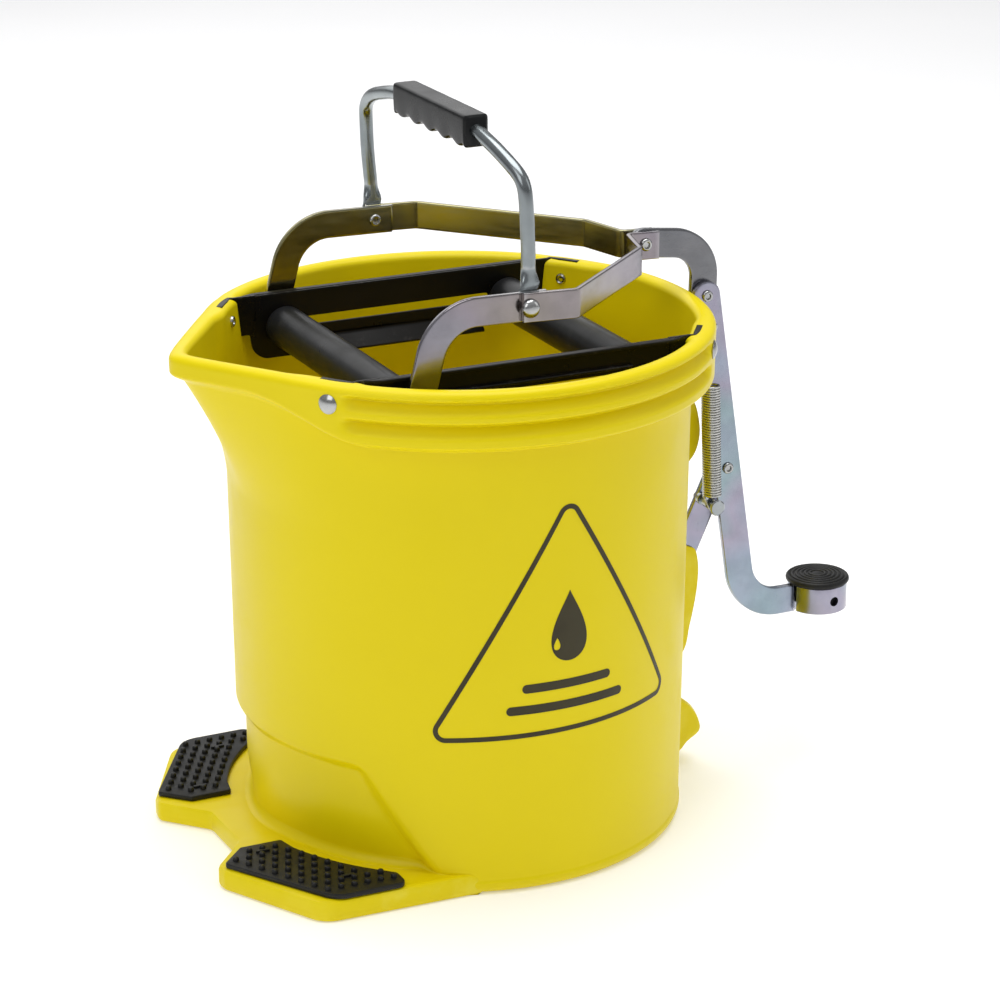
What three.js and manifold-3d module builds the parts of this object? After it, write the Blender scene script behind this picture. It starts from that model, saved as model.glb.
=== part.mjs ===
// Round mop bucket with a pedal roller wringer. Millimetres, +Z up, +X towards the pedal,
// the pouring spout towards -X, origin on the floor under the middle of the bucket.
import * as THREE from "three";
import { mergeVertices } from "three/addons/utils/BufferGeometryUtils.js";
import Module from "manifold-3d";

const wasm = await Module();
wasm.setup();

// ---------------------------------------------------------------- driving dimensions
const FIT = 0.3; // gap left between faces that touch on the real object
const DEG = Math.PI / 180;

// Bucket
const BASE_RADIUS = 130.5; // body just above the base fillet
const WALL_RADIUS = 134; // body under the rim band
const RIM_TOP = 301; // overall height of the bucket
const LIP_RADIUS = 147.5; // outside of the rim
const BAND_LOW = 270.5; // lower edge of the ribbed rim band
const BAND_LOW_RADIUS = 146.9;
const RIB_PITCH = 12.75;
const RIB_FLAT = 4; // upright face of a rib before it slopes back
const GROOVE_DEPTH = 6.2;
const MOUTH_RADIUS = 136; // inside of the rim
const WALL = 3.5;
const FLOOR = 4;
const BASE_FILLET = 6;
const SPOUT_TANGENT = 34.4 * DEG; // where the straight spout sides leave the round rim
const SPOUT_TIP_ROUND = 2.3 * DEG;
const SPOUT_LOW = 212; // height where the spout starts to swell out of the wall
const SPOUT_FULL = 293;
const AROUND = 48; // facets round the bucket

// Toe recess and foot platform at the front
const RECESS_TOP = 75.7;
const RECESS_DEPTH = 5.5;
const RECESS_FOOT = 3; // extra depth next to the platform
const PLATFORM_TOP = 13;
const PAD_TOP = 17;

// Wringer frame
const PLATE_Y = 90; // middle of each side plate
const PLATE = 2;
const PLATE_TOP = 301;
const AXLE_Z = 282; // both rollers lie at this height
const FRONT_X = -71.7; // moving roller, wringer open
const REAR_X = 71.9; // fixed roller
const ROLLER_RADIUS = 12.2;
const ROLLER_HALF = 85;
const FRONT_AXLE_RADIUS = 2.3;
const REAR_AXLE_RADIUS = 3;
const SLOT_HALF = 2.6;
const FLANGE_RADIUS = 138.3; // plate ends bend round the rim on this radius
const FLANGE = 2; // thickness of the bent ends
const FLANGE_ARC = [33.2, 41.2]; // degrees from the X axis
const RIVET_ANGLE = 37; // degrees; rivets through rim and plate ends
const RIVET_Z = 290;
const FRONT_FLANGE_LOW = 277.6;
const REAR_FLANGE_LOW = 281.6;

// Strap frame that the pedal pulls
const STRAP = 16.5; // height of the flat bar
const BAR = 3; // its thickness
const ARM_Y = 102.5; // middle of the gooseneck arms
const FORK_Y = ARM_Y + BAR + FIT; // fork members lie outside the arms
const HANDLE_PIVOT = { x: -6.3, z: 334.2 };
const LINK_RIVET = { x: 118.2, z: 330.5 };
const LINK_CORNER = { x: 160, z: 325.5 };
const LINK_WIDTH = 17.2;
const TOP_PIVOT = { x: 159.1, z: 294.8 }; // rear link to pedal lever
const STRAP_SLOPE = 0.038; // fall of the fork members towards the rear

// Pedal lever, strut and spring
const LEVER_Y = -4.3;
const LEVER = 4; // bar thickness
const LEVER_WIDTH = 17.5;
const FULCRUM = { x: 175.5, z: 185.8 };
const FOOT_Z = 94.2;
const PEDAL = { x: 241.8, y: LEVER_Y };
const PEDAL_RING = { outer: 18.2, inner: 15.2, low: 86.4, high: 102.8 };
const CAP = { radius: 19.5, low: 103.1, high: 107.9, plug: 90 };
const STRUT_Y = 3; // middle of the strut
const STRUT_WIDTH = 15;
const SPRING_PIN = { x: 161.3, z: 166.8 };
const HOOK_PIN = { x: 157.2, z: 279 };
const PIN_SHANK = 1.8;
const STRUT_SCREW = { x: 146, z: 121 };
const SCREW_SHANK = 2;
const SPRING_Y = -13.5;
const SPRING_RADIUS = 5.2;
const HOOK_REACH = 33; // from the top of the coil to the upper pin
const RIVET_SHANK = 2.5;
const HOLE = RIVET_SHANK + FIT;

// Carrying handle
const ROD_RADIUS = 4;
const ROD_Z = 420;
const ROD_X = -10.3;
const ROD_NEAR_Y = -96.4;
const ROD_FAR_Y = 111.6;
const EYE = 3.6; // thickness of the rod's flattened ends
const EYE_WIDTH = 11.5;
const EYE_RISE = 17; // the flat reaches this far above the pivot
const ROD_FOOT = 350; // the round bar starts here
const NEAR_LEG = -2.4; // x of the legs where they start
const FAR_LEG = -4.2;
const GRIP = { half: 47.7, top: 428.6, bottom: 410, width: 15.2 };

// ---------------------------------------------------------------- finishes
const finish = (color, roughness, metalness) =>
  new THREE.MeshStandardMaterial({ color, roughness, metalness });
const YELLOW = finish(0xe6cf0e, 0.42, 0);
const BLACK_RUBBER = finish(0x1b1b1d, 0.7, 0);
const GREY_RUBBER = finish(0x2c2d30, 0.6, 0);
const BLACK_PAINT = finish(0x141416, 0.45, 0.1);
const ZINC = finish(0xb9bcc4, 0.35, 0.9);
const CHROME = finish(0xd6d9de, 0.15, 1);

// ---------------------------------------------------------------- helpers
const V2 = (x, y) => new THREE.Vector2(x, y);
const clamp01 = (t) => Math.min(1, Math.max(0, t));
const mix = (a, b, t) => a + (b - a) * t;

function smooth(from, to, value) {
  const t = clamp01((value - from) / (to - from));
  return t * t * (3 - 2 * t);
}

/** Closed BufferGeometry to a manifold solid with its faces pointing out. */
function solid(geometry) {
  const bare = geometry.clone();
  bare.deleteAttribute("normal");
  bare.deleteAttribute("uv");
  const merged = mergeVertices(bare, 1e-3);
  const corner = merged.index.array;
  const place = merged.attributes.position;
  const point = (i) => new THREE.Vector3().fromBufferAttribute(place, i);
  const kept = [];
  let volume = 0;
  for (let i = 0; i < corner.length; i += 3) {
    const [a, b, c] = [corner[i], corner[i + 1], corner[i + 2]];
    if (a === b || b === c || c === a) continue;
    kept.push([a, b, c]);
    volume += point(a).dot(point(b).cross(point(c)));
  }
  const facing = kept.map(([a, b, c]) => (volume < 0 ? [a, c, b] : [a, b, c]));
  const mesh = new wasm.Mesh({
    numProp: 3,
    vertProperties: new Float32Array(place.array),
    triVerts: new Uint32Array(facing.flat()),
  });
  return new wasm.Manifold(mesh);
}

function geometryOf(body) {
  const mesh = body.getMesh();
  const geometry = new THREE.BufferGeometry();
  geometry.setAttribute("position", new THREE.BufferAttribute(mesh.vertProperties, 3));
  geometry.setIndex(new THREE.BufferAttribute(mesh.triVerts, 1));
  geometry.computeVertexNormals();
  return geometry;
}

const joined = (first, ...rest) => rest.reduce((sum, one) => sum.add(one), first);
const cut = (first, ...rest) => rest.reduce((left, one) => left.subtract(one), first);

function extrude(shape, depth, curveSegments = 6) {
  return new THREE.ExtrudeGeometry(shape, { depth, bevelEnabled: false, curveSegments });
}

/** An outline in x and z, extruded from y = low to y = high. */
function alongY(shape, low, high) {
  return solid(extrude(shape, high - low).rotateX(Math.PI / 2).translate(0, high, 0));
}

/** An outline in x and y, extruded from z = low to z = high. */
function alongZ(shape, low, high) {
  return solid(extrude(shape, high - low).translate(0, 0, low));
}

/** An outline in y and z, extruded from x = low to x = high. */
function alongX(shape, low, high) {
  const axes = new THREE.Matrix4().makeBasis(
    new THREE.Vector3(0, 1, 0),
    new THREE.Vector3(0, 0, 1),
    new THREE.Vector3(1, 0, 0),
  );
  return solid(extrude(shape, high - low).applyMatrix4(axes).translate(low, 0, 0));
}

function box(x, y, z) {
  const size = [x, y, z].map(([low, high]) => high - low);
  const middle = [x, y, z].map(([low, high]) => (low + high) / 2);
  return solid(new THREE.BoxGeometry(...size).translate(...middle));
}

/** A profile of [radius, y] pairs turned about the Y axis. */
function turned(profile, segments = 24) {
  return new THREE.LatheGeometry(profile.map(([r, y]) => V2(r, y)), segments);
}

/** A round bar along Y at (x, z). */
function barY(radius, low, high, { x, z }, segments = 12) {
  const rod = turned([[0, low], [radius, low], [radius, high], [0, high]], segments);
  return solid(rod.translate(x, 0, z));
}

/** Corners of a path with each inner corner rounded to its radius. */
function rounded(corners, radii, closed = false) {
  const count = corners.length;
  const path = [];
  corners.forEach((corner, i) => {
    const radius = radii[i] ?? 0;
    const isEnd = !closed && (i === 0 || i === count - 1);
    if (!radius || isEnd) {
      path.push(corner.clone());
      return;
    }
    const back = corners[(i + count - 1) % count].clone().sub(corner).normalize();
    const ahead = corners[(i + 1) % count].clone().sub(corner).normalize();
    const half = Math.acos(back.dot(ahead)) / 2;
    const centre = back.clone().add(ahead).normalize().multiplyScalar(radius / Math.sin(half));
    centre.add(corner);
    const start = back.multiplyScalar(radius / Math.tan(half)).add(corner).sub(centre);
    const end = ahead.multiplyScalar(radius / Math.tan(half)).add(corner).sub(centre);
    const turn = Math.atan2(start.cross(end), start.dot(end));
    const steps = Math.max(2, Math.ceil(Math.abs(turn) / (15 * DEG)));
    for (let k = 0; k <= steps; k++) {
      path.push(start.clone().rotateAround(V2(0, 0), (turn * k) / steps).add(centre));
    }
  });
  return path;
}

/** Outline of a flat bar of constant width along a path; its ends can be half round. */
function ribbon(path, width, roundStart = true, roundEnd = true) {
  const half = width / 2;
  const sideways = path.map((point, i) => {
    const before = path[Math.max(0, i - 1)];
    const after = path[Math.min(path.length - 1, i + 1)];
    const along = after.clone().sub(before).normalize();
    return V2(-along.y, along.x).multiplyScalar(half);
  });
  const left = path.map((point, i) => point.clone().add(sideways[i]));
  const right = path.map((point, i) => point.clone().sub(sideways[i])).reverse();
  const nose = (point, from) =>
    [30, 60, 90, 120, 150].map((turn) =>
      from.clone().rotateAround(V2(0, 0), -turn * DEG).add(point));
  const last = path.length - 1;
  const tip = roundEnd ? nose(path[last], sideways[last]) : [];
  const tail = roundStart ? nose(path[0], sideways[0].clone().negate()) : [];
  return new THREE.Shape([...left, ...tip, ...right, ...tail].reverse());
}

function addHole(shape, { x, z }, radius) {
  shape.holes.push(new THREE.Path().absarc(x, z, radius, 0, 2 * Math.PI, true));
}

const parts = new THREE.Group();

function piece(name, body, material, home = parts) {
  const mesh = new THREE.Mesh(geometryOf(body), material);
  mesh.name = name;
  home.add(mesh);
  return mesh;
}

const mirrored = (body) => body.mirror([0, 1, 0]);

/** The same piece on both sides: built for -Y (left, facing the spout) and mirrored. */
function pair(name, leftBody, material) {
  piece(`${name}_left`, leftBody, material);
  piece(`${name}_right`, mirrored(leftBody), material);
}

// ---------------------------------------------------------------- bucket
// Angles phi are measured from -X, the spout.

const ribEnvelope = (z) => mix(BAND_LOW_RADIUS, LIP_RADIUS, (z - BAND_LOW) / (RIM_TOP - BAND_LOW));

/** How far the spout carries the rim outwards. */
function spoutReach(phi) {
  const away = Math.hypot(phi, SPOUT_TIP_ROUND);
  return away < SPOUT_TANGENT ? LIP_RADIUS / Math.cos(SPOUT_TANGENT - away) - LIP_RADIUS : 0;
}

function wallRadius(z) {
  const slope = mix(BASE_RADIUS, WALL_RADIUS, z / BAND_LOW);
  if (z >= BASE_FILLET) return slope;
  return slope - BASE_FILLET + Math.sqrt(BASE_FILLET ** 2 - (BASE_FILLET - z) ** 2);
}

/** Smooth wall with the spout's swelling and the toe recess, without the rim band. */
function plainWall(phi, z) {
  const across = Math.abs(phi);
  const swell = Math.max(0, (z - SPOUT_LOW) / (SPOUT_FULL - SPOUT_LOW)) ** 1.35;
  const lip = (LIP_RADIUS - WALL_RADIUS) * (1 - smooth(20 * DEG, 45 * DEG, across));
  const spout = Math.min(1, swell) * (spoutReach(phi) + lip);
  const side = (41 + (17.8 * (RECESS_TOP - z)) / 57.7) * DEG;
  const inside = smooth(0, 9, RECESS_TOP - z) * smooth(0, 5 * DEG, side - across);
  const middle = 0.7 + 0.3 * smooth(0, 24 * DEG, across);
  const recess = inside * middle * (RECESS_DEPTH + RECESS_FOOT * (1 - smooth(13, 45, z)));
  return wallRadius(z) + spout - recess;
}

function grooveDepth(phi, z) {
  const across = Math.abs(phi);
  const ends = smooth(40 * DEG, 44.5 * DEG, across) * (1 - smooth(138 * DEG, 142 * DEG, across));
  const above = (z - BAND_LOW) % RIB_PITCH;
  const slope = (above - RIB_FLAT) / (RIB_PITCH - RIB_FLAT - 2);
  const isGroove = z > BAND_LOW && z < BAND_LOW + 2 * RIB_PITCH;
  if (!isGroove || slope <= 0) return 0;
  const underside = slope > 1 ? (RIB_PITCH - above) / 2 : slope;
  return ends * GROOVE_DEPTH * underside;
}

function outerRadius(phi, z) {
  const across = Math.abs(phi);
  const plain = plainWall(phi, z);
  const bandLow = mix(BAND_LOW - 2.5, RIM_TOP, 1 - smooth(15 * DEG, 45 * DEG, across));
  const band = ribEnvelope(z) + spoutReach(phi) - grooveDepth(phi, z);
  const edge = z > RIM_TOP - 1 ? 1.2 : 0;
  return plain + Math.max(0, band - plain) * smooth(bandLow - 4, bandLow + 3, z) - edge;
}

function innerRadius(phi, z) {
  const across = Math.abs(phi);
  const fromAxis = Math.min(across, Math.PI - across);
  const plain = plainWall(phi, Math.max(z, BASE_FILLET)) - WALL;
  const mouth = Math.max(0, MOUTH_RADIUS + spoutReach(phi) - plain);
  const open = plain + mouth * smooth(266, 278, z);
  const panel = smooth(24 * DEG, 31 * DEG, fromAxis) * (1 - smooth(42 * DEG, 45 * DEG, fromAxis));
  const covered = Math.min(open, MOUTH_RADIUS - 2.6);
  const corner = Math.max(0, FLOOR + BASE_FILLET - z);
  return mix(open, covered, panel * smooth(262, 270, z)) - corner;
}

/** A star-shaped solid from rings of radius(phi, z) at each height. */
function ringed(heights, radius) {
  const place = [0, 0, heights[0], 0, 0, heights.at(-1)];
  const faces = [];
  const at = (row, step) => 2 + row * AROUND + (step % AROUND);
  for (const z of heights) {
    for (let step = 0; step < AROUND; step++) {
      const phi = ((step / AROUND) * 2 - 1) * Math.PI;
      const r = radius(phi, z);
      place.push(-r * Math.cos(phi), r * Math.sin(phi), z);
    }
  }
  for (let step = 0; step < AROUND; step++) {
    faces.push(0, at(0, step), at(0, step + 1));
    faces.push(1, at(heights.length - 1, step + 1), at(heights.length - 1, step));
    for (let row = 0; row < heights.length - 1; row++) {
      faces.push(at(row, step), at(row + 1, step), at(row + 1, step + 1));
      faces.push(at(row, step), at(row + 1, step + 1), at(row, step + 1));
    }
  }
  const geometry = new THREE.BufferGeometry();
  geometry.setAttribute("position", new THREE.BufferAttribute(new Float32Array(place), 3));
  geometry.setIndex(faces);
  return solid(geometry);
}

/** Corners of a symmetric outline: the +Y half, then its mirror image. */
function symmetric(half) {
  const other = half.filter(([, y]) => y !== 0).map(([x, y]) => [x, -y]).reverse();
  return [...half, ...other].map(([x, y]) => V2(x, y));
}

function footPlatform() {
  const half = [[-150, 22], [-173, 48], [-172, 56], [-138, 120], [-42, 122.6], [-42, 104]];
  const corners = symmetric(half);
  const radii = [6, 5, 5, 12, 0, 0, 0, 0, 12, 5, 5, 6];
  return alongZ(new THREE.Shape(rounded(corners, radii, true)), 0, PLATFORM_TOP);
}

const UPPER_LUG = [[125, 240], [140, 238], [152, 231.6], [156.5, 218.5], [156.7, 206], [152, 195],
  [140, 186], [125, 180]];
const SOCKET = [[125, 140], [152.7, 137.5], [158.9, 130], [159.3, 111.6], [154.6, 86.4],
  [148.9, 67.7], [125, 48]];
const TIPPING_LUG = [[120, 52], [142, 44], [151, 38], [157, 27], [156.5, 20], [148.5, 14.5],
  [141, 8], [120, 2]];

const lug = (corners, low, high) =>
  alongY(new THREE.Shape(corners.map(([x, z]) => V2(x, z))), low, high);

function strutSocket() {
  const half = LEVER / 2 + FIT;
  const room = alongY(ribbon(strutPath(), STRUT_WIDTH + 2 * FIT), STRUT_Y - half, STRUT_Y + half);
  const screwHole = barY(SCREW_SHANK + FIT, -0.6, 12, STRUT_SCREW);
  return cut(lug(SOCKET, -1.5, 8.5), room, screwHole);
}

/** From the outer to the inner face of the left plate's web, widened by a gap. */
const webSpan = (gap) => [-PLATE_Y - PLATE / 2 - gap, -PLATE_Y + PLATE / 2 + gap];

const strutPath = () => {
  const down = V2(-0.416, -0.909);
  const top = V2(FULCRUM.x, FULCRUM.z);
  return [top, top.clone().addScaledVector(down, 80)];
};

/** Arc-shaped slab between two radii, from a lower to a higher angle, at both rim ends. */
function rimArc(inner, outer, from, to, low, high, front) {
  const steps = 5;
  const arc = (radius, backwards) =>
    Array.from({ length: steps + 1 }, (_, i) => {
      const t = backwards ? 1 - i / steps : i / steps;
      const angle = mix(from, to, t) * DEG;
      return V2((front ? -1 : 1) * radius * Math.cos(angle), -radius * Math.sin(angle));
    });
  const outline = new THREE.Shape([...arc(outer, false), ...arc(inner, true)]);
  return alongZ(outline, low, high);
}

/** A pin profile of [radius, distance] turned about a radial line through a rim rivet. */
function rimPin(profile, front, side) {
  const along = solid(turned(profile, 12).rotateZ(-Math.PI / 2)).translate([0, 0, RIVET_Z]);
  return along.rotate([0, 0, front ? 180 - RIVET_ANGLE * side : RIVET_ANGLE * side]);
}

/** Room in the rim for one bent plate end, the web beside it and its rivet. */
function flangePocket(front) {
  const gap = 0.4;
  const [from, to] = [FLANGE_ARC[0] - gap, FLANGE_ARC[1] + gap];
  const low = (front ? FRONT_FLANGE_LOW : REAR_FLANGE_LOW) - 1;
  const high = RIM_TOP + 9;
  const radii = [FLANGE_RADIUS - FLANGE / 2 - gap, FLANGE_RADIUS + FLANGE / 2 + gap];
  const web = box(front ? [-106, -93] : [93, 106], webSpan(gap), [low, high]);
  const rivetHole = [[0, 125], [HOLE, 125], [HOLE, 155], [0, 155]];
  return joined(rimArc(...radii, from, to, low, high, front), web, rimPin(rivetHole, front, -1));
}

/** The bucket's outer form, grown by a gap to cut the pieces that stand against it. */
const outerForm = (gap) =>
  ringed(
    [0, 1.5, BASE_FILLET, 30, 60, 69, RECESS_TOP, SPOUT_LOW, 232, 252, 264, BAND_LOW, 274.5,
      281.2, 283.3, 287.3, 294, 296, RIM_TOP],
    (phi, z) => outerRadius(phi, z) + gap,
  );

function bucketBody() {
  const cavity = ringed(
    [FLOOR, FLOOR + BASE_FILLET, 60, RECESS_TOP, SPOUT_LOW, 240, 266, 278, RIM_TOP, RIM_TOP + 5],
    innerRadius,
  );
  const plateEnds = [flangePocket(true), flangePocket(false)];
  return cut(outerForm(0), cavity, ...plateEnds, ...plateEnds.map(mirrored));
}

function footPad() {
  const inner = 138;
  const onArc = (angle) => V2(-inner * Math.cos(angle * DEG), -inner * Math.sin(angle * DEG));
  const corners = [V2(-155.5, -38.6), V2(-170.8, -54.3), V2(-131, -120.4), V2(-88, -120.9),
    V2(-88, -107), ...[46, 40, 34, 28, 22].map(onArc), V2(-130.6, -38.6)];
  const radii = [1, 1, 16, 3, 3];
  return alongZ(new THREE.Shape(rounded(corners, radii, true)), PLATFORM_TOP + FIT, PAD_TOP);
}

const wallFace = outerForm(FIT);
piece("bucket_body", bucketBody(), YELLOW);
piece("foot_platform", cut(footPlatform(), wallFace), YELLOW);
piece("upper_lug", cut(lug(UPPER_LUG, -6, 6), wallFace), YELLOW);
piece("strut_socket", cut(strutSocket(), wallFace), YELLOW);
piece("tipping_lug", cut(lug(TIPPING_LUG, -14, 14), wallFace), YELLOW);
pair("foot_pad", footPad(), BLACK_RUBBER);

// ---------------------------------------------------------------- wringer side plates
function slot(from, to, z, half) {
  const path = new THREE.Path();
  path.moveTo(from, z - half);
  path.lineTo(to, z - half);
  path.absarc(to, z, half, -Math.PI / 2, Math.PI / 2, false);
  path.lineTo(from, z + half);
  path.absarc(from, z, half, Math.PI / 2, (3 * Math.PI) / 2, false);
  return path;
}

function sidePlate() {
  const [near, inner] = webSpan(0);
  const end = 104.2; // where the web meets the bent ends
  const top = PLATE_TOP - FIT;
  const corners = [V2(-end, FRONT_FLANGE_LOW), V2(-91.5, FRONT_FLANGE_LOW), V2(-89.5, 262),
    V2(-61, 262), V2(-61, 271.5), V2(90, 271.5), V2(92, REAR_FLANGE_LOW),
    V2(end, REAR_FLANGE_LOW), V2(end, top), V2(-end, top)];
  const web = new THREE.Shape(rounded(corners, [0, 2, 11, 2, 1, 3, 1, 0, 0, 0], true));
  web.holes.push(slot(-77, 62.2 - SLOT_HALF, AXLE_Z, SLOT_HALF));
  const topFlange = box([-91, 91], [near - 4, near + 0.5], [PLATE_TOP - 2, PLATE_TOP]);
  const ledge = box([-60, 64], [near - 3, near + 0.5], [287.5, 289.5]);
  const lipCorners = [[near, 273], [inner, 273], [inner, 271.5], [inner + 7.8, 263.7],
    [inner + 6.4, 262.3], [near, 270.7]];
  const lip = alongX(new THREE.Shape(lipCorners.map(([y, z]) => V2(y, z))), -58, 56);
  const radii = [FLANGE_RADIUS - FLANGE / 2, FLANGE_RADIUS + FLANGE / 2];
  const flange = (front, low) => rimArc(...radii, ...FLANGE_ARC, low, top, front);
  const plate = joined(alongY(web, near, inner), topFlange, ledge, lip,
    flange(true, FRONT_FLANGE_LOW), flange(false, REAR_FLANGE_LOW));
  const axleHole = barY(REAR_AXLE_RADIUS + FIT, near - 5, inner + 5, { x: REAR_X, z: AXLE_Z });
  const rivetHole = [[0, 130], [HOLE, 130], [HOLE, 145], [0, 145]];
  return cut(plate, axleHole, rimPin(rivetHole, true, -1), rimPin(rivetHole, false, -1));
}

const rimRivetProfile = [[0, 130.6], [4.4, 132.3], [4.4, 132.9], [RIVET_SHANK, 132.9],
  [RIVET_SHANK, 147.7], [5.6, 147.7], [4.2, 149.1], [0, 149.7]];

pair("side_plate", sidePlate(), BLACK_PAINT);
for (const [where, front] of [["front", true], ["rear", false]]) {
  piece(`rim_rivet_${where}_left`, rimPin(rimRivetProfile, front, -1), CHROME);
  piece(`rim_rivet_${where}_right`, rimPin(rimRivetProfile, front, 1), CHROME);
}

// ---------------------------------------------------------------- rollers and axles
function roller(bore) {
  const end = ROLLER_HALF;
  const r = ROLLER_RADIUS;
  const profile = [[bore, -end], [r - 2.2, -end], [r, -end + 2.2], [r, end - 2.2],
    [r - 2.2, end], [bore, end], [bore, -end]];
  return solid(turned(profile, 24));
}

const pushCap = (bore, outer, thick) =>
  solid(turned([[bore, 0], [outer, 0], [outer, thick], [bore, thick], [bore, 0]], 12));

function placed(mesh, x, y, z) {
  mesh.position.set(x, y, z);
  return mesh;
}

function axleSet(name, x, axleRadius, axleHalf, capAt) {
  const axle = barY(axleRadius, -axleHalf, axleHalf, { x: 0, z: 0 });
  placed(piece(`${name}_axle`, axle, ZINC), x, 0, AXLE_Z);
  placed(piece(`${name}_roller`, roller(axleRadius + 0.5), GREY_RUBBER), x, 0, AXLE_Z);
  const cap = pushCap(axleRadius + FIT, axleRadius + 3, 2);
  placed(piece(`${name}_axle_cap_left`, cap, ZINC), x, -capAt - 2, AXLE_Z);
  placed(piece(`${name}_axle_cap_right`, cap, ZINC), x, capAt, AXLE_Z);
}

axleSet("front", FRONT_X, FRONT_AXLE_RADIUS, ARM_Y + 5, ARM_Y + BAR / 2 + FIT);
axleSet("rear", REAR_X, REAR_AXLE_RADIUS, PLATE_Y + 5, PLATE_Y + PLATE / 2 + FIT);

// ---------------------------------------------------------------- strap frame
/** Rivet along Y with a domed head below y = from and another above y = to. */
function rivet(name, from, to, headNear, headFar, at, headRadius = 6) {
  const dome = (edge, height, way) =>
    [[headRadius, 0], [headRadius * 0.75, 0.7], [0, 1]].map(([r, t]) => [r, edge + way * height * t]);
  const profile = [...dome(from, headNear, -1).reverse(), [RIVET_SHANK, from], [RIVET_SHANK, to],
    ...dome(to, headFar, 1)];
  return placed(piece(name, solid(turned(profile, 12)), CHROME), at.x, 0, at.z);
}

function gooseneckArm() {
  const axle = V2(FRONT_X, AXLE_Z);
  const path = rounded([axle, V2(-57.8, 335.2), V2(5, 334)], [0, 28, 0]);
  const shape = ribbon(path, STRAP, true, false);
  addHole(shape, { x: FRONT_X, z: AXLE_Z }, FRONT_AXLE_RADIUS + 1.9); // room for the lever's arc
  addHole(shape, HANDLE_PIVOT, HOLE);
  return alongY(shape, -ARM_Y - BAR / 2, -ARM_Y + BAR / 2);
}

function forkMember() {
  const tab = 2 + FIT + BAR / 2; // beside the rear link
  const path = rounded(
    [V2(-10, -FORK_Y), V2(22.5, -FORK_Y), V2(98.8, -34.5), V2(107, -tab), V2(127, -tab)],
    [0, 4, 5, 4, 0],
  );
  const bar = alongZ(ribbon(path, BAR, false, false), 0, STRAP);
  const top = (x) => 342.6 - STRAP_SLOPE * (x - HANDLE_PIVOT.x);
  const sloped = bar.warp((v) => {
    v[2] += top(v[0]) - STRAP;
  });
  const hole = (at, y) => barY(HOLE, y - 6, y + 6, at);
  return cut(sloped, hole(HANDLE_PIVOT, -FORK_Y), hole(LINK_RIVET, -tab));
}

function rearLink() {
  const path = rounded(
    [LINK_RIVET, LINK_CORNER, TOP_PIVOT].map(({ x, z }) => V2(x, z)),
    [0, 22, 0],
  );
  const shape = ribbon(path, LINK_WIDTH);
  addHole(shape, LINK_RIVET, HOLE);
  addHole(shape, TOP_PIVOT, HOLE);
  return alongY(shape, -2, 2);
}

pair("gooseneck_arm", gooseneckArm(), ZINC);
pair("fork_member", forkMember(), ZINC);
piece("rear_link", rearLink(), ZINC);
const forkFace = FORK_Y + BAR / 2;
const armFace = ARM_Y - BAR / 2;
rivet("handle_rivet_left", -forkFace - 0.2, -armFace + EYE + 2 * FIT, 4.4, 2,
  HANDLE_PIVOT);
rivet("handle_rivet_right", armFace - 0.2, forkFace + EYE + 2 * FIT, 2, 4.4,
  HANDLE_PIVOT);
rivet("link_rivet", -5.6, 5.6, 3, 3, LINK_RIVET, 5.5);
rivet("lever_top_rivet", LEVER_Y - LEVER / 2 - 0.2, 2.2, 2.2, 2, TOP_PIVOT, 4.6);

// ---------------------------------------------------------------- pedal lever
const leverSlope = (TOP_PIVOT.x - FULCRUM.x) / (TOP_PIVOT.z - FULCRUM.z);
const onLever = (z) => FULCRUM.x + leverSlope * (z - FULCRUM.z);

function pedalLever() {
  const path = rounded(
    [V2(TOP_PIVOT.x, TOP_PIVOT.z), V2(onLever(FOOT_Z), FOOT_Z), V2(PEDAL.x - 16.2, FOOT_Z)],
    [0, 28, 0],
  );
  const shape = ribbon(path, LEVER_WIDTH, true, false);
  addHole(shape, TOP_PIVOT, HOLE);
  addHole(shape, FULCRUM, HOLE);
  addHole(shape, HOOK_PIN, PIN_SHANK + FIT);
  const bar = alongY(shape, LEVER_Y - LEVER / 2, LEVER_Y + LEVER / 2);
  const { outer, inner, low, high } = PEDAL_RING;
  const section = [[inner, low], [outer, low], [outer, high], [inner, high], [inner, low]];
  const ring = solid(turned(section, 24).rotateX(Math.PI / 2)).translate([PEDAL.x, PEDAL.y, 0]);
  const slit = box([-20, -12], [-1, 0.6], [low - 1, high + 1]).rotate([0, 0, 11.5]);
  const gap = slit.translate([PEDAL.x, PEDAL.y, 0]);
  const hole = solid(turned([[0, 13], [3, 13], [3, 20], [0, 20]], 12)).rotate([180, 0, 0]);
  const sideHole = hole.translate([PEDAL.x + 1.8, PEDAL.y, FOOT_Z - 0.1]);
  const inside = box([PEDAL.x - inner + 0.1, PEDAL.x], [LEVER_Y - 3, LEVER_Y + 3], [low - 4, high + 4]);
  return cut(joined(cut(bar, inside), ring), gap, sideHole);
}

function pedalCap() {
  const { radius, low, high, plug } = CAP;
  const inside = PEDAL_RING.inner - FIT;
  const profile = [[0, plug], [inside, plug], [inside, low], [radius - 1, low], [radius, low + 1],
    [radius, high - 2], [radius - 2, high], [0, high]];
  return solid(turned(profile, 24).rotateX(Math.PI / 2)).translate([PEDAL.x, PEDAL.y, 0]);
}

piece("pedal_lever", pedalLever(), ZINC);
piece("pedal_cap", pedalCap(), BLACK_RUBBER);

// ---------------------------------------------------------------- strut, fulcrum and spring
const strutNear = STRUT_Y - LEVER / 2;

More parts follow.
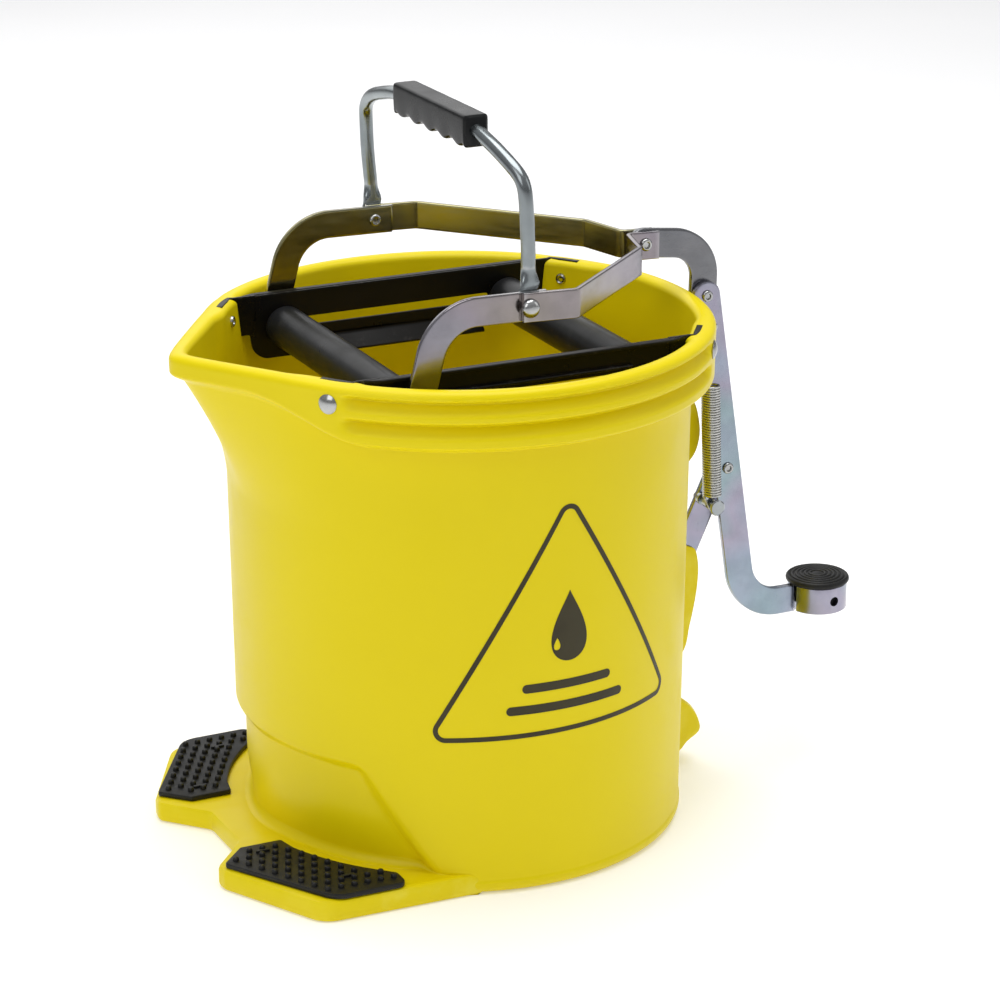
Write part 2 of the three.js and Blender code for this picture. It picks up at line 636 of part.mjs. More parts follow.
function strut() {
  const ear = V2(SPRING_PIN.x, SPRING_PIN.z);
  const bar = ribbon(strutPath(), STRUT_WIDTH, true, false);
  addHole(bar, FULCRUM, HOLE);
  const body = alongY(bar, strutNear, strutNear + LEVER);
  const boss = barY(3.4, strutNear, strutNear + LEVER, { x: ear.x, z: ear.y });
  const hole = (radius, at) => barY(radius + FIT, strutNear - 1, strutNear + LEVER + 1, at);
  return cut(joined(body, boss), hole(PIN_SHANK, SPRING_PIN), hole(SCREW_SHANK, STRUT_SCREW));
}

/** Flat-headed pin: the head ends at y = head, the riveted foot starts at y = tail. */
const pinProfile = (headRadius, head, tail, foot) => [[0, head - 1.8], [headRadius - 0.8, head - 1.8],
  [headRadius, head - 1], [headRadius, head], [PIN_SHANK, head], [PIN_SHANK, tail], [2.5, tail],
  [2.5, tail + foot], [0, tail + foot]];

piece("strut", strut(), ZINC);
rivet("fulcrum_rivet", LEVER_Y - LEVER / 2 - 0.2, strutNear + LEVER + 0.2, 2.2, 2, FULCRUM, 4.4);
const spacer = pushCap(HOLE, 6, strutNear - (LEVER_Y + LEVER / 2) - 2 * FIT);
placed(piece("fulcrum_spacer", spacer, ZINC), FULCRUM.x, LEVER_Y + LEVER / 2 + FIT, FULCRUM.z);
const lowerPin = solid(turned(pinProfile(5.6, -19, strutNear + LEVER + 0.2, 1.2), 12));
placed(piece("spring_pin", lowerPin, ZINC), SPRING_PIN.x, 0, SPRING_PIN.z);
const upperPin = solid(turned(pinProfile(3.4, -16.6, LEVER_Y + LEVER / 2 + 0.2, 0.9), 12));
placed(piece("hook_pin", upperPin, ZINC), HOOK_PIN.x, 0, HOOK_PIN.z);
const screwProfile = [[0, 0], [SCREW_SHANK, 0], [SCREW_SHANK, 9.3], [4.5, 9.3], [4.2, 11], [0, 12]];
const screw = solid(turned(screwProfile, 12));
placed(piece("strut_screw", screw, ZINC), STRUT_SCREW.x, -0.3, STRUT_SCREW.z);

function returnSpring() {
  const start = new THREE.Vector3(SPRING_PIN.x, SPRING_Y, SPRING_PIN.z);
  const end = new THREE.Vector3(HOOK_PIN.x, SPRING_Y, HOOK_PIN.z);
  const along = end.clone().sub(start);
  const length = along.length();
  const r = SPRING_RADIUS;
  const wire = 0.9;
  const profile = [[0, 4.4], [r, 5.4], [r, length - HOOK_REACH], [wire, length - HOOK_REACH + 3],
    [wire, length - 4.4], [0, length - 4.4]];
  const turn = new THREE.Quaternion().setFromUnitVectors(
    new THREE.Vector3(0, 1, 0),
    along.normalize(),
  );
  const mesh = piece("return_spring", solid(turned(profile, 12)), ZINC);
  mesh.quaternion.copy(turn);
  mesh.position.copy(start);
}

returnSpring();

// ---------------------------------------------------------------- carrying handle
/** Middle line of the round bar as [x, y, z], from the near leg over the grip to the far leg. */
const ROD_LINE = [
  [NEAR_LEG, ROD_NEAR_Y, ROD_FOOT], [-2.5, ROD_NEAR_Y, 365], [-3.3, ROD_NEAR_Y, 383],
  [-4, -96.2, 393.5], [-4.6, -95, 399.3], [-5.6, -91.4, 404.1], [-7.4, -84, 408.9],
  [-9.2, -70, 414.6], [-10.1, -58.5, 417.9], [ROD_X, -50, 419.7], [ROD_X, -42, ROD_Z],
  [ROD_X, 0, ROD_Z], [ROD_X, 46, ROD_Z], [ROD_X, 53, 419.8], [ROD_X, 65, 418.5],
  [-9.7, 83.5, 414.4], [-9, 96, 410.6], [-8.1, 104.8, 405.9], [-7.3, 110.2, 400],
  [-6.7, ROD_FAR_Y, 391.5], [-6, ROD_FAR_Y, 374], [FAR_LEG, ROD_FAR_Y, ROD_FOOT],
];

/** The flattened end of a leg, round the pivot. */
function rodEye(low, high, legX) {
  const top = V2(legX, HANDLE_PIVOT.z + EYE_RISE);
  const shape = ribbon([V2(HANDLE_PIVOT.x, HANDLE_PIVOT.z), top], EYE_WIDTH);
  addHole(shape, HANDLE_PIVOT, HOLE);
  return alongY(shape, low, high);
}

function handleRod() {
  const knots = ROD_LINE.map((knot) => new THREE.Vector3(...knot));
  const curve = new THREE.CatmullRomCurve3(knots, false, "centripetal");
  const circle = new THREE.Shape(new THREE.Path().absarc(0, 0, ROD_RADIUS, 0, 2 * Math.PI)
    .getPoints(4).slice(0, -1));
  const tube = new THREE.ExtrudeGeometry(circle, { steps: 48, extrudePath: curve });
  const near = rodEye(-armFace + FIT, -armFace + FIT + EYE, NEAR_LEG);
  const far = rodEye(forkFace + FIT, forkFace + FIT + EYE, FAR_LEG);
  return joined(solid(tube), near, far);
}

function handleGrip() {
  const { half, top, bottom, width } = GRIP;
  const outline = [V2(-half, top - 3), V2(-half + 3, top), V2(half - 3, top), V2(half, top - 3)];
  const steps = 30;
  for (let i = 0; i <= steps; i++) {
    const y = mix(half, -half, i / steps);
    const wave = 1.25 * (1 - Math.cos((y / (2 * half)) * 5 * 2 * Math.PI));
    outline.push(V2(y, bottom + wave * smooth(0, 4, half - Math.abs(y))));
  }
  const body = alongX(new THREE.Shape(outline), ROD_X - width / 2, ROD_X + width / 2);
  const bore = barY(ROD_RADIUS + FIT, -half - 5, half + 5, { x: ROD_X, z: ROD_Z });
  return cut(body, bore);
}

piece("handle_rod", handleRod(), ZINC);
piece("handle_grip", handleGrip(), BLACK_RUBBER);

export default parts;
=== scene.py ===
"""Looks of the round mop bucket with a pedal roller wringer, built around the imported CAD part.

Sizes are in millimetres until a mesh is made; +X is towards the pedal, the spout is towards -X.
"""

import math

import bmesh
import bpy
from mathutils import Matrix, Vector
from mathutils.geometry import tessellate_polygon


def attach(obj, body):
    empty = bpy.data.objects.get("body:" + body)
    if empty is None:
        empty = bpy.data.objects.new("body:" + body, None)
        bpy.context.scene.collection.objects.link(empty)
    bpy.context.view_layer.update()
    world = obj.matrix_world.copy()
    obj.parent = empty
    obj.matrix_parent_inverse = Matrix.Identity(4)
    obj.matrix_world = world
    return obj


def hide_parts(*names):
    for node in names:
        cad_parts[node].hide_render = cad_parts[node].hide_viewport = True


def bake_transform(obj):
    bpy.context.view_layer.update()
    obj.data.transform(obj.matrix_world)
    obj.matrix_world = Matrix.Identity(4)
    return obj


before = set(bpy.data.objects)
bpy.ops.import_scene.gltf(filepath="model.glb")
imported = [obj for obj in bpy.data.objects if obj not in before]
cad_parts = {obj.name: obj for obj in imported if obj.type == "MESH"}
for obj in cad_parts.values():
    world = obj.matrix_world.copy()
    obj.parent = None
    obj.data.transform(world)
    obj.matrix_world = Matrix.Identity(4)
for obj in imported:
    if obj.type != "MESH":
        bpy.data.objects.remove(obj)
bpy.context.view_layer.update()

MM = 0.001
DEG = math.pi / 180

# ---------------------------------------------------------------- sizes shared with the CAD
BASE_RADIUS, WALL_RADIUS, RIM_TOP, LIP_RADIUS = 130.5, 134.0, 301.0, 147.5
BAND_LOW, BAND_LOW_RADIUS, RIB_PITCH, RIB_FLAT, GROOVE_DEPTH = 270.5, 146.9, 12.75, 4.0, 6.2
MOUTH_RADIUS, WALL, FLOOR, BASE_FILLET = 136.0, 3.5, 4.0, 6.0
SPOUT_TANGENT, SPOUT_TIP_ROUND, SPOUT_LOW, SPOUT_FULL = 34.4 * DEG, 2.3 * DEG, 212.0, 293.0
BEAD_LOW, BEAD_PROUD, LIP_ROUND = 288.5, 3.5, 4.5  # rolled edge round the spout and the rim
RECESS_TOP, RECESS_DEPTH, RECESS_FOOT = 75.7, 5.5, 3.0
PLATFORM_TOP, PAD_LOW, PAD_TOP = 13.0, 13.3, 16.6
PLATE_Y, PLATE, PLATE_TOP, AXLE_Z = 90.0, 2.0, 301.0, 282.0
FRONT_X, REAR_X, ROLLER_RADIUS, ROLLER_HALF = -71.7, 71.9, 12.2, 85.0
FLANGE_RADIUS, RIVET_ANGLE, RIVET_Z = 138.3, 37.0, 290.0
STRAP, BAR, ARM_Y, FORK_Y = 16.5, 3.0, 102.5, 105.8
HANDLE_PIVOT, LINK_RIVET, TOP_PIVOT = (-6.3, 334.2), (118.2, 330.5), (159.1, 294.8)
LINK_CORNER, LINK_WIDTH = (160.0, 325.5), 17.2
STRAP_SLOPE = 0.038
LEVER_Y, LEVER, LEVER_WIDTH = -4.3, 4.0, 17.5
FULCRUM, FOOT_Z = (175.5, 185.8), 94.2
PEDAL_X, RING_OUTER, RING_INNER, RING_LOW, RING_HIGH = 241.8, 18.2, 15.2, 86.4, 102.8
CAP_RADIUS, CAP_LOW, CAP_HIGH, PLUG_LOW = 19.5, 103.1, 107.9, 90.0
STRUT_Y, STRUT_WIDTH = 3.0, 15.0
SPRING_PIN, HOOK_PIN, SPRING_Y, HOOK_REACH = (161.3, 166.8), (157.2, 279.0), -13.5, 33.0
STRUT_SCREW = (146.0, 121.0)
ROD_RADIUS, ROD_Z, ROD_X, ROD_NEAR_Y, ROD_FAR_Y = 4.0, 420.0, -10.3, -96.4, 111.6
ROD_FOOT, NEAR_LEG, FAR_LEG, EYE = 350.0, -2.4, -4.2, 3.6


def clamp01(t):
    return min(1.0, max(0.0, t))


def mix(a, b, t):
    return a + (b - a) * t


def smooth(low, high, value):
    t = clamp01((value - low) / (high - low))
    return t * t * (3 - 2 * t)


# ---------------------------------------------------------------- camera
TARGET = Vector((27.0, 0.0, 185.9)) * MM
AZIMUTH, ELEVATION, DISTANCE, LENS = -25.64 * DEG, 19.29 * DEG, 1.9929, 122.9


def add_camera():
    back = Vector((math.sin(AZIMUTH) * math.cos(ELEVATION),
                   -math.cos(AZIMUTH) * math.cos(ELEVATION),
                   math.sin(ELEVATION)))
    data = bpy.data.cameras.new("camera")
    data.lens = LENS
    data.sensor_width = 36
    data.clip_start = 0.05
    camera = bpy.data.objects.new("camera", data)
    camera.location = TARGET + back * DISTANCE
    camera.rotation_euler = back.to_track_quat("Z", "Y").to_euler()
    bpy.context.scene.collection.objects.link(camera)
    bpy.context.scene.camera = camera


# ---------------------------------------------------------------- node materials
class Shader:
    """A Principled material and short calls for the nodes around it."""

    def __init__(self, name, **sockets):
        self.material = bpy.data.materials.new(name)
        self.material.use_nodes = True
        self.tree = self.material.node_tree
        self.surface = self.tree.nodes["Principled BSDF"]
        for socket, value in sockets.items():
            self.surface.inputs[socket.replace("_", " ")].default_value = value
        self.place = self.tree.nodes.new("ShaderNodeTexCoord").outputs["Object"]

    def link(self, source, target):
        self.tree.links.new(source, target)

    def stretched(self, scale):
        node = self.tree.nodes.new("ShaderNodeMapping")
        node.inputs["Scale"].default_value = scale
        self.link(self.place, node.inputs["Vector"])
        return node.outputs["Vector"]

    def noise(self, scale, detail=3.0, roughness=0.5, stretch=None):
        node = self.tree.nodes.new("ShaderNodeTexNoise")
        node.inputs["Scale"].default_value = scale
        node.inputs["Detail"].default_value = detail
        node.inputs["Roughness"].default_value = roughness
        self.link(self.stretched(stretch) if stretch else self.place, node.inputs["Vector"])
        return node.outputs["Fac"]

    def cells(self, scale):
        node = self.tree.nodes.new("ShaderNodeTexVoronoi")
        node.inputs["Scale"].default_value = scale
        self.link(self.place, node.inputs["Vector"])
        return node.outputs["Distance"]

    def edges(self):
        return self.tree.nodes.new("ShaderNodeNewGeometry").outputs["Pointiness"]

    def ramp(self, source, stops):
        node = self.tree.nodes.new("ShaderNodeValToRGB")
        ramp = node.color_ramp
        while len(ramp.elements) < len(stops):
            ramp.elements.new(0.5)
        for element, (position, color) in zip(ramp.elements, stops):
            element.position = position
            element.color = (*color, 1) if isinstance(color, tuple) else (color, color, color, 1)
        self.link(source, node.inputs["Fac"])
        return node.outputs["Color"]

    def range(self, source, low, high, from_low=0.3, from_high=0.7):
        node = self.tree.nodes.new("ShaderNodeMapRange")
        node.inputs["From Min"].default_value = from_low
        node.inputs["From Max"].default_value = from_high
        node.inputs["To Min"].default_value = low
        node.inputs["To Max"].default_value = high
        self.link(source, node.inputs["Value"])
        return node.outputs["Result"]

    def blend(self, amount, first, second, mode="MIX"):
        node = self.tree.nodes.new("ShaderNodeMix")
        node.data_type = "RGBA"
        node.blend_type = mode
        for value, socket in ((amount, 0), (first, 6), (second, 7)):
            if isinstance(value, (tuple, float)):
                color = (*value, 1) if isinstance(value, tuple) else value
                node.inputs[socket].default_value = color
            else:
                self.link(value, node.inputs[socket])
        return node.outputs[2]

    def math(self, operation, first, second):
        node = self.tree.nodes.new("ShaderNodeMath")
        node.operation = operation
        for value, socket in ((first, 0), (second, 1)):
            if isinstance(value, float):
                node.inputs[socket].default_value = value
            else:
                self.link(value, node.inputs[socket])
        return node.outputs[0]

    def color(self, source):
        self.link(source, self.surface.inputs["Base Color"])

    def roughness(self, source):
        self.link(source, self.surface.inputs["Roughness"])

    def bump(self, *heights):
        """Bumps of (height source, strength, distance in metres), one over the other."""
        normal = None
        for source, strength, distance in heights:
            node = self.tree.nodes.new("ShaderNodeBump")
            node.inputs["Strength"].default_value = strength
            node.inputs["Distance"].default_value = distance
            self.link(source, node.inputs["Height"])
            if normal:
                self.link(normal, node.inputs["Normal"])
            normal = node.outputs["Normal"]
        self.link(normal, self.surface.inputs["Normal"])


def yellow_plastic():
    s = Shader("yellow_moulded_plastic", IOR=1.48, Specular_IOR_Level=0.22)
    cloud = s.noise(7.0, 2.0)
    base = s.ramp(cloud, [(0.3, (0.79, 0.64, 0.0)), (0.7, (0.82, 0.67, 0.002))])
    worn = s.ramp(s.edges(), [(0.52, 0.0), (0.60, 1.0)])
    scuffed = s.math("MULTIPLY", worn, s.ramp(s.noise(60.0, 4.0), [(0.45, 0.0), (0.62, 0.5)]))
    s.color(s.blend(scuffed, base, (0.88, 0.76, 0.07)))
    flow = s.noise(14.0, 4.0, 0.6, stretch=(1, 1, 0.25))
    rubbed = s.range(s.noise(35.0, 5.0, 0.65), 0.0, 0.10, 0.5, 0.8)
    s.roughness(s.math("ADD", s.range(flow, 0.30, 0.42), rubbed))
    s.bump((flow, 0.08, 0.0005), (s.noise(420.0, 2.0), 0.08, 0.00005))
    return s.material


def black_rubber():
    s = Shader("black_moulded_rubber", IOR=1.5, Specular_IOR_Level=0.3)
    base = s.ramp(s.noise(30.0, 3.0), [(0.3, (0.006, 0.006, 0.006)), (0.7, (0.011, 0.011, 0.010))])
    dust = s.ramp(s.noise(150.0, 5.0, 0.7), [(0.55, 0.0), (0.8, 0.25)])
    worn = s.ramp(s.edges(), [(0.53, 0.0), (0.64, 0.4)])
    s.color(s.blend(s.math("MAXIMUM", dust, worn), base, (0.030, 0.030, 0.028)))
    s.roughness(s.range(s.noise(55.0, 4.0), 0.40, 0.56))
    s.bump((s.noise(700.0, 2.0), 0.18, 0.00006), (s.noise(60.0, 2.0), 0.08, 0.0003))
    return s.material


def grip_plastic():
    s = Shader("black_grip_plastic", IOR=1.5, Specular_IOR_Level=0.2)
    base = s.ramp(s.noise(25.0, 3.0), [(0.3, (0.003, 0.0033, 0.0035)), (0.7, (0.005, 0.0054, 0.0056))])
    worn = s.ramp(s.edges(), [(0.52, 0.0), (0.62, 0.45)])
    s.color(s.blend(worn, base, (0.045, 0.047, 0.05)))
    s.roughness(s.range(s.noise(40.0, 4.0), 0.24, 0.34))
    s.bump((s.cells(900.0), 0.18, 0.00006), (s.noise(50.0, 3.0), 0.06, 0.0004))
    return s.material


def roller_rubber():
    s = Shader("grey_roller_rubber", IOR=1.5, Specular_IOR_Level=0.22)
    bands = s.noise(9.0, 5.0, 0.7, stretch=(0.4, 14, 0.4))
    base = s.ramp(bands, [(0.3, (0.008, 0.0084, 0.009)), (0.7, (0.013, 0.0134, 0.014))])
    dust = s.ramp(s.noise(80.0, 5.0, 0.7), [(0.55, 0.0), (0.8, 0.25)])
    s.color(s.blend(dust, base, (0.065, 0.064, 0.058)))
    s.roughness(s.range(s.noise(40.0, 4.0), 0.27, 0.40))
    s.bump((bands, 0.10, 0.0002), (s.noise(500.0, 2.0), 0.10, 0.00006))
    return s.material


def black_paint():
    s = Shader("black_plate_coating", IOR=1.5, Specular_IOR_Level=0.22)
    # Grey on the sharpest edges: partly chipped paint, partly a painted highlight line along the edges.
    chipped_and_highlit_edges = s.ramp(s.edges(), [(0.53, 0.0), (0.58, 1.0)])
    spots = s.ramp(s.noise(240.0, 5.0, 0.7), [(0.55, 0.0), (0.66, 0.5)])
    base = s.ramp(s.noise(18.0, 3.0), [(0.3, (0.004, 0.004, 0.003)), (0.7, (0.008, 0.007, 0.006))])
    s.color(s.blend(s.math("MULTIPLY", chipped_and_highlit_edges, spots), base, (0.12, 0.115, 0.10)))
    s.roughness(s.range(s.noise(50.0, 4.0, 0.5), 0.26, 0.36))
    s.bump((s.noise(300.0, 2.0), 0.06, 0.00006), (s.noise(20.0, 2.0), 0.05, 0.0003))
    return s.material


def zinc(name, tones, low, high, grain):
    """Passivated zinc: slow rainbow tones over a smooth rolled surface."""
    s = Shader(name, Metallic=1.0, IOR=1.5)
    places = [0.28 + 0.44 * i / (len(tones) - 1) for i in range(len(tones))]
    base = s.ramp(s.noise(13.0, 2.0, 0.45), list(zip(places, tones)))
    blotch = s.ramp(s.noise(55.0, 4.0, 0.6), [(0.38, 0.86), (0.62, 1.0)])
    toned = s.blend(1.0, base, blotch, "MULTIPLY")
    # Pale on the sharpest edges: partly worn plating, partly a painted highlight along the edges.
    worn = s.ramp(s.edges(), [(0.53, 0.0), (0.62, 0.6)])
    s.color(s.blend(worn, toned, (0.70, 0.70, 0.71)))
    scratches = s.noise(190.0, 4.0, 0.65, stretch=grain)
    s.roughness(s.range(scratches, low, high))
    s.bump((scratches, 0.05, 0.00004), (s.noise(24.0, 2.0), 0.05, 0.0003))
    return s.material


def polished():
    s = Shader("polished_rivet_steel", Metallic=1.0, IOR=1.5)
    s.color(s.ramp(s.noise(90.0, 3.0), [(0.3, (0.34, 0.345, 0.34)), (0.7, (0.47, 0.475, 0.47))]))
    s.roughness(s.range(s.noise(220.0, 4.0), 0.16, 0.28))
    s.bump((s.noise(180.0, 3.0), 0.08, 0.0001))
    return s.material


def printed_mark():
    s = Shader("printed_mark", IOR=1.5, Specular_IOR_Level=0.3)
    s.color(s.ramp(s.noise(40.0, 4.0), [(0.3, (0.030, 0.024, 0.006)), (0.7, (0.042, 0.034, 0.010))]))
    s.roughness(s.range(s.noise(120.0, 4.0), 0.34, 0.50))
    s.bump((s.noise(500.0, 2.0), 0.1, 0.00005))
    return s.material


YELLOW = yellow_plastic()
RUBBER = black_rubber()
GRIP = grip_plastic()
ROLLER = roller_rubber()
BLACK = black_paint()
STRAP_TONES = ((0.25, 0.25, 0.28), (0.28, 0.25, 0.28), (0.29, 0.26, 0.24), (0.24, 0.26, 0.27))
# Far-side strap tones: the strap zinc with a painted reflection of the yellow bucket.
YELLOW_REFLECTION_TONES = ((0.40, 0.37, 0.19), (0.36, 0.35, 0.24), (0.43, 0.39, 0.17), (0.34, 0.33, 0.22))
# Rear link tones: a darker copy of the strap zinc, which is painted shade.
SHADED_LINK_TONES = ((0.17, 0.18, 0.20), (0.20, 0.20, 0.21), (0.17, 0.19, 0.20))
LEVER_TONES = ((0.27, 0.35, 0.40), (0.30, 0.34, 0.42), (0.34, 0.32, 0.40), (0.28, 0.36, 0.39),
               (0.31, 0.35, 0.43))
ROD_TONES = ((0.22, 0.24, 0.25), (0.29, 0.32, 0.33), (0.25, 0.28, 0.285))
STRAP_ZINC = zinc("zinc_plated_strap", STRAP_TONES, 0.15, 0.24, (0.25, 0.25, 1.6))
ZINC_WITH_PAINTED_YELLOW_REFLECTION = zinc("far_strap_painted_yellow_reflection", YELLOW_REFLECTION_TONES, 0.16, 0.26, (0.25, 0.25, 1.6))
LINK_ZINC_PAINTED_SHADE = zinc("zinc_link_painted_shade", SHADED_LINK_TONES, 0.20, 0.30, (0.25, 0.25, 1.6))
LEVER_ZINC = zinc("zinc_plated_lever", LEVER_TONES, 0.18, 0.28, (1.2, 1.2, 0.25))
ROD_ZINC = zinc("zinc_plated_rod", ROD_TONES, 0.18, 0.28, (1.2, 1.2, 0.25))
SPRING_TONES = ((0.40, 0.41, 0.38), (0.50, 0.50, 0.46))
SPRING_ZINC = zinc("spring_wire", SPRING_TONES, 0.2, 0.3, (1, 1, 1))
CHROME = polished()
MARK = printed_mark()


# ---------------------------------------------------------------- mesh makers
def add_piece(name, verts, faces, material, body, slot, replaces=(), sharp=38.0):
    """A mesh from millimetre points, smooth apart from edges sharper than `sharp` degrees."""
    mesh = bpy.data.meshes.new(name)
    mesh.from_pydata([(x * MM, y * MM, z * MM) for x, y, z in verts], [], faces)
    work = bmesh.new()
    work.from_mesh(mesh)
    bmesh.ops.remove_doubles(work, verts=work.verts, dist=1e-7)
    bmesh.ops.recalc_face_normals(work, faces=work.faces)
    work.to_mesh(mesh)
    work.free()
    mesh.materials.append(material)
    mesh.shade_smooth()
    mesh.set_sharp_from_angle(angle=sharp * DEG)
    piece = bpy.data.objects.new(name, mesh)
    bpy.context.scene.collection.objects.link(piece)
    if body:
        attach(piece, body)
    if replaces:
        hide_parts(*replaces)
    return piece


def joined(*parts):
    """One (verts, faces) from several."""
    verts, faces = [], []
    for more_verts, more_faces in parts:
        start = len(verts)
        verts += more_verts
        faces += [tuple(i + start for i in face) for face in more_faces]
    return verts, faces


def moved(part, change):
    verts, faces = part
    return [tuple(change(Vector(v))) for v in verts], faces


def across(part):
    """The mirror image on the other side of the middle plane."""
    return moved(part, lambda v: Vector((v.x, -v.y, v.z)))


def inset(loop, distance):
    """A counter-clockwise loop moved inwards by a distance."""
    count = len(loop)
    result = []
    for i, point in enumerate(loop):
        before = (point - loop[i - 1]).normalized()
        after = (loop[(i + 1) % count] - point).normalized()
        normal = Vector((-(before.y + after.y), before.x + after.x))
        if normal.length < 1e-6:
            result.append(point.copy())
            continue
        normal.normalize()
        cosine = max(0.4, normal.dot(Vector((-before.y, before.x))))
        result.append(point + normal * (distance / cosine))
    return result


def area_of(loop):
    return sum(a.cross(b) for a, b in zip(loop, loop[1:] + loop[:1])) / 2


def slab(outline, low, high, edge, to_space, holes=(), margin=0.0):
    """A flat plate with rounded edges: outline and holes in its plane, from low to high.

    A margin sets a ring of points inside each flat face, so that the edge tint, partly wear and partly painted
    highlight, stays near the edge.
    """
    loops = [outline if area_of(outline) > 0 else outline[::-1]]
    loops += [hole[::-1] if area_of(hole) > 0 else hole for hole in holes]
    levels = [(edge, low), (0.29 * edge, low + 0.29 * edge), (0, low + edge),
              (0, high - edge), (0.29 * edge, high - 0.29 * edge), (edge, high)]
    if margin:
        levels = [(edge + margin, low), *levels, (edge + margin, high)]
    verts, faces = [], []
    starts = []
    for loop in loops:
        count = len(loop)
        starts.append(len(verts))
        for step, level in levels:
            verts += [tuple(to_space(p.x, p.y, level)) for p in inset(loop, step)]
        for row in range(len(levels) - 1):
            base = starts[-1] + row * count
            for i in range(count):
                j = (i + 1) % count
                faces.append((base + i, base + j, base + count + j, base + count + i))
    for row in (0, len(levels) - 1):
        index = [start + row * len(loop) + i for start, loop in zip(starts, loops)
                 for i in range(len(loop))]
        step = levels[row][0]
        flat = [[Vector((p.x, p.y, 0)) for p in inset(loop, step)] for loop in loops]
        faces += [tuple(index[i] for i in face) for face in tessellate_polygon(flat)]
    return verts, faces


def along_y(x, z, y):
    return x, y, z


def along_z(x, y, z):
    return x, y, z


def along_x(y, z, x):
    return x, y, z


def points(*pairs):
    return [Vector(pair) for pair in pairs]


def rounded(corners, radii, closed=False, step=5.0):
    """A path or loop with each corner rounded to its radius."""
    count = len(corners)
    path = []
    for i, corner in enumerate(corners):
        radius = radii[i]
        if not radius or (not closed and i in (0, count - 1)):
            path.append(corner.copy())
            continue
        back = (corners[i - 1] - corner).normalized()
        ahead = (corners[(i + 1) % count] - corner).normalized()
        half = math.acos(max(-1, min(1, back.dot(ahead)))) / 2
        centre = corner + (back + ahead).normalized() * (radius / math.sin(half))
        start = corner + back * (radius / math.tan(half)) - centre
        end = corner + ahead * (radius / math.tan(half)) - centre
        turn = math.atan2(start.cross(end), start.dot(end))
        steps = max(3, math.ceil(abs(turn) / (step * DEG)))
        for k in range(steps + 1):
            path.append(Matrix.Rotation(turn * k / steps, 2) @ start + centre)
    return path


def ribbon(path, width, round_start=True, round_end=True, wide=None):
    """Outline of a flat bar along a path; wide(i) may widen it at a point."""
    half = width / 2
    left, right = [], []
    sides = []
    for i, point in enumerate(path):
        along = (path[min(i + 1, len(path) - 1)] - path[max(0, i - 1)]).normalized()
        side = Vector((-along.y, along.x)) * (wide(i) if wide else half)
        sides.append(side)
        left.append(point + side)
        right.append(point - side)

    def nose(centre, side):
        return [centre + Matrix.Rotation(-turn * DEG, 2) @ side for turn in range(12, 180, 12)]

    tip = nose(path[-1], sides[-1]) if round_end else []
    tail = nose(path[0], -sides[0]) if round_start else []
    return left + tip + right[::-1] + tail


def circle(centre, radius, count=32):
    return [Vector((centre[0] + radius * math.cos(2 * math.pi * i / count),
                    centre[1] + radius * math.sin(2 * math.pi * i / count))) for i in range(count)]


def lathe(profile, count=48):
    """[radius, height] pairs turned about Y; pairs with radius 0 close on the axis."""
    verts, faces, rows = [], [], []
    for radius, height in profile:
        if radius < 1e-6:
            rows.append([len(verts)])
            verts.append((0, height, 0))
        else:
            rows.append(list(range(len(verts), len(verts) + count)))
            verts += [(radius * math.cos(2 * math.pi * i / count), height,
                       radius * math.sin(2 * math.pi * i / count)) for i in range(count)]
    for low, high in zip(rows, rows[1:]):
        for i in range(count):
            j = (i + 1) % count
            corners = [low[i % len(low)], low[j % len(low)], high[j % len(high)], high[i % len(high)]]
            unique = list(dict.fromkeys(corners))
            if len(unique) > 2:
                faces.append(tuple(unique))
    return verts, faces


def arc(centre, radius, start, end, steps=6):
    """Profile points on a quarter or half round, angles in degrees."""
    return [(centre[0] + radius * math.cos(mix(start, end, i / steps) * DEG),
             centre[1] + radius * math.sin(mix(start, end, i / steps) * DEG))
            for i in range(steps + 1)]


def shifted(part, x=0.0, y=0.0, z=0.0):
    return moved(part, lambda v: v + Vector((x, y, z)))


def upright(part):
    """Turns a lathe from the Y axis to the Z axis."""
    return moved(part, lambda v: Vector((v.x, -v.z, v.y)))


def tube(path, radius, sides=12, taper=None):
    """A round wire along 3-D points, with closed ends."""
    verts, faces = [], []
    normal = None
    for i, point in enumerate(path):
        along = (path[min(i + 1, len(path) - 1)] - path[max(0, i - 1)]).normalized()
        if normal is None:
            helper = Vector((0, 0, 1)) if abs(along.z) < 0.9 else Vector((1, 0, 0))
            normal = along.cross(helper).normalized()
        normal = (normal - along * normal.dot(along)).normalized()
        other = along.cross(normal)
        size = radius * (taper(i) if taper else 1)
        for k in range(sides):
            angle = 2 * math.pi * k / sides
            verts.append(tuple(point + (normal * math.cos(angle) + other * math.sin(angle)) * size))
    for row in range(len(path) - 1):
        for k in range(sides):
            m = (k + 1) % sides
            faces.append((row * sides + k, row * sides + m, (row + 1) * sides + m, (row + 1) * sides + k))
    faces.append(tuple(range(sides)))
    faces.append(tuple(range((len(path) - 1) * sides, len(path) * sides)))
    return verts, faces


# ---------------------------------------------------------------- bucket
def rib_envelope(z):
    return mix(BAND_LOW_RADIUS, LIP_RADIUS, (z - BAND_LOW) / (RIM_TOP - BAND_LOW))


def spout_reach(phi):
    away = math.hypot(phi, SPOUT_TIP_ROUND)
    if away >= SPOUT_TANGENT:
        return 0.0
    return LIP_RADIUS / math.cos(SPOUT_TANGENT - away) - LIP_RADIUS


def wall_radius(z):
    slope = mix(BASE_RADIUS, WALL_RADIUS, z / BAND_LOW)
    if z >= BASE_FILLET:
        ring = 0.7 * (1 - smooth(7.0, 8.5, z))  # slightly thicker foot
        return slope + ring
    return slope + 0.7 - BASE_FILLET + math.sqrt(BASE_FILLET ** 2 - (BASE_FILLET - z) ** 2)


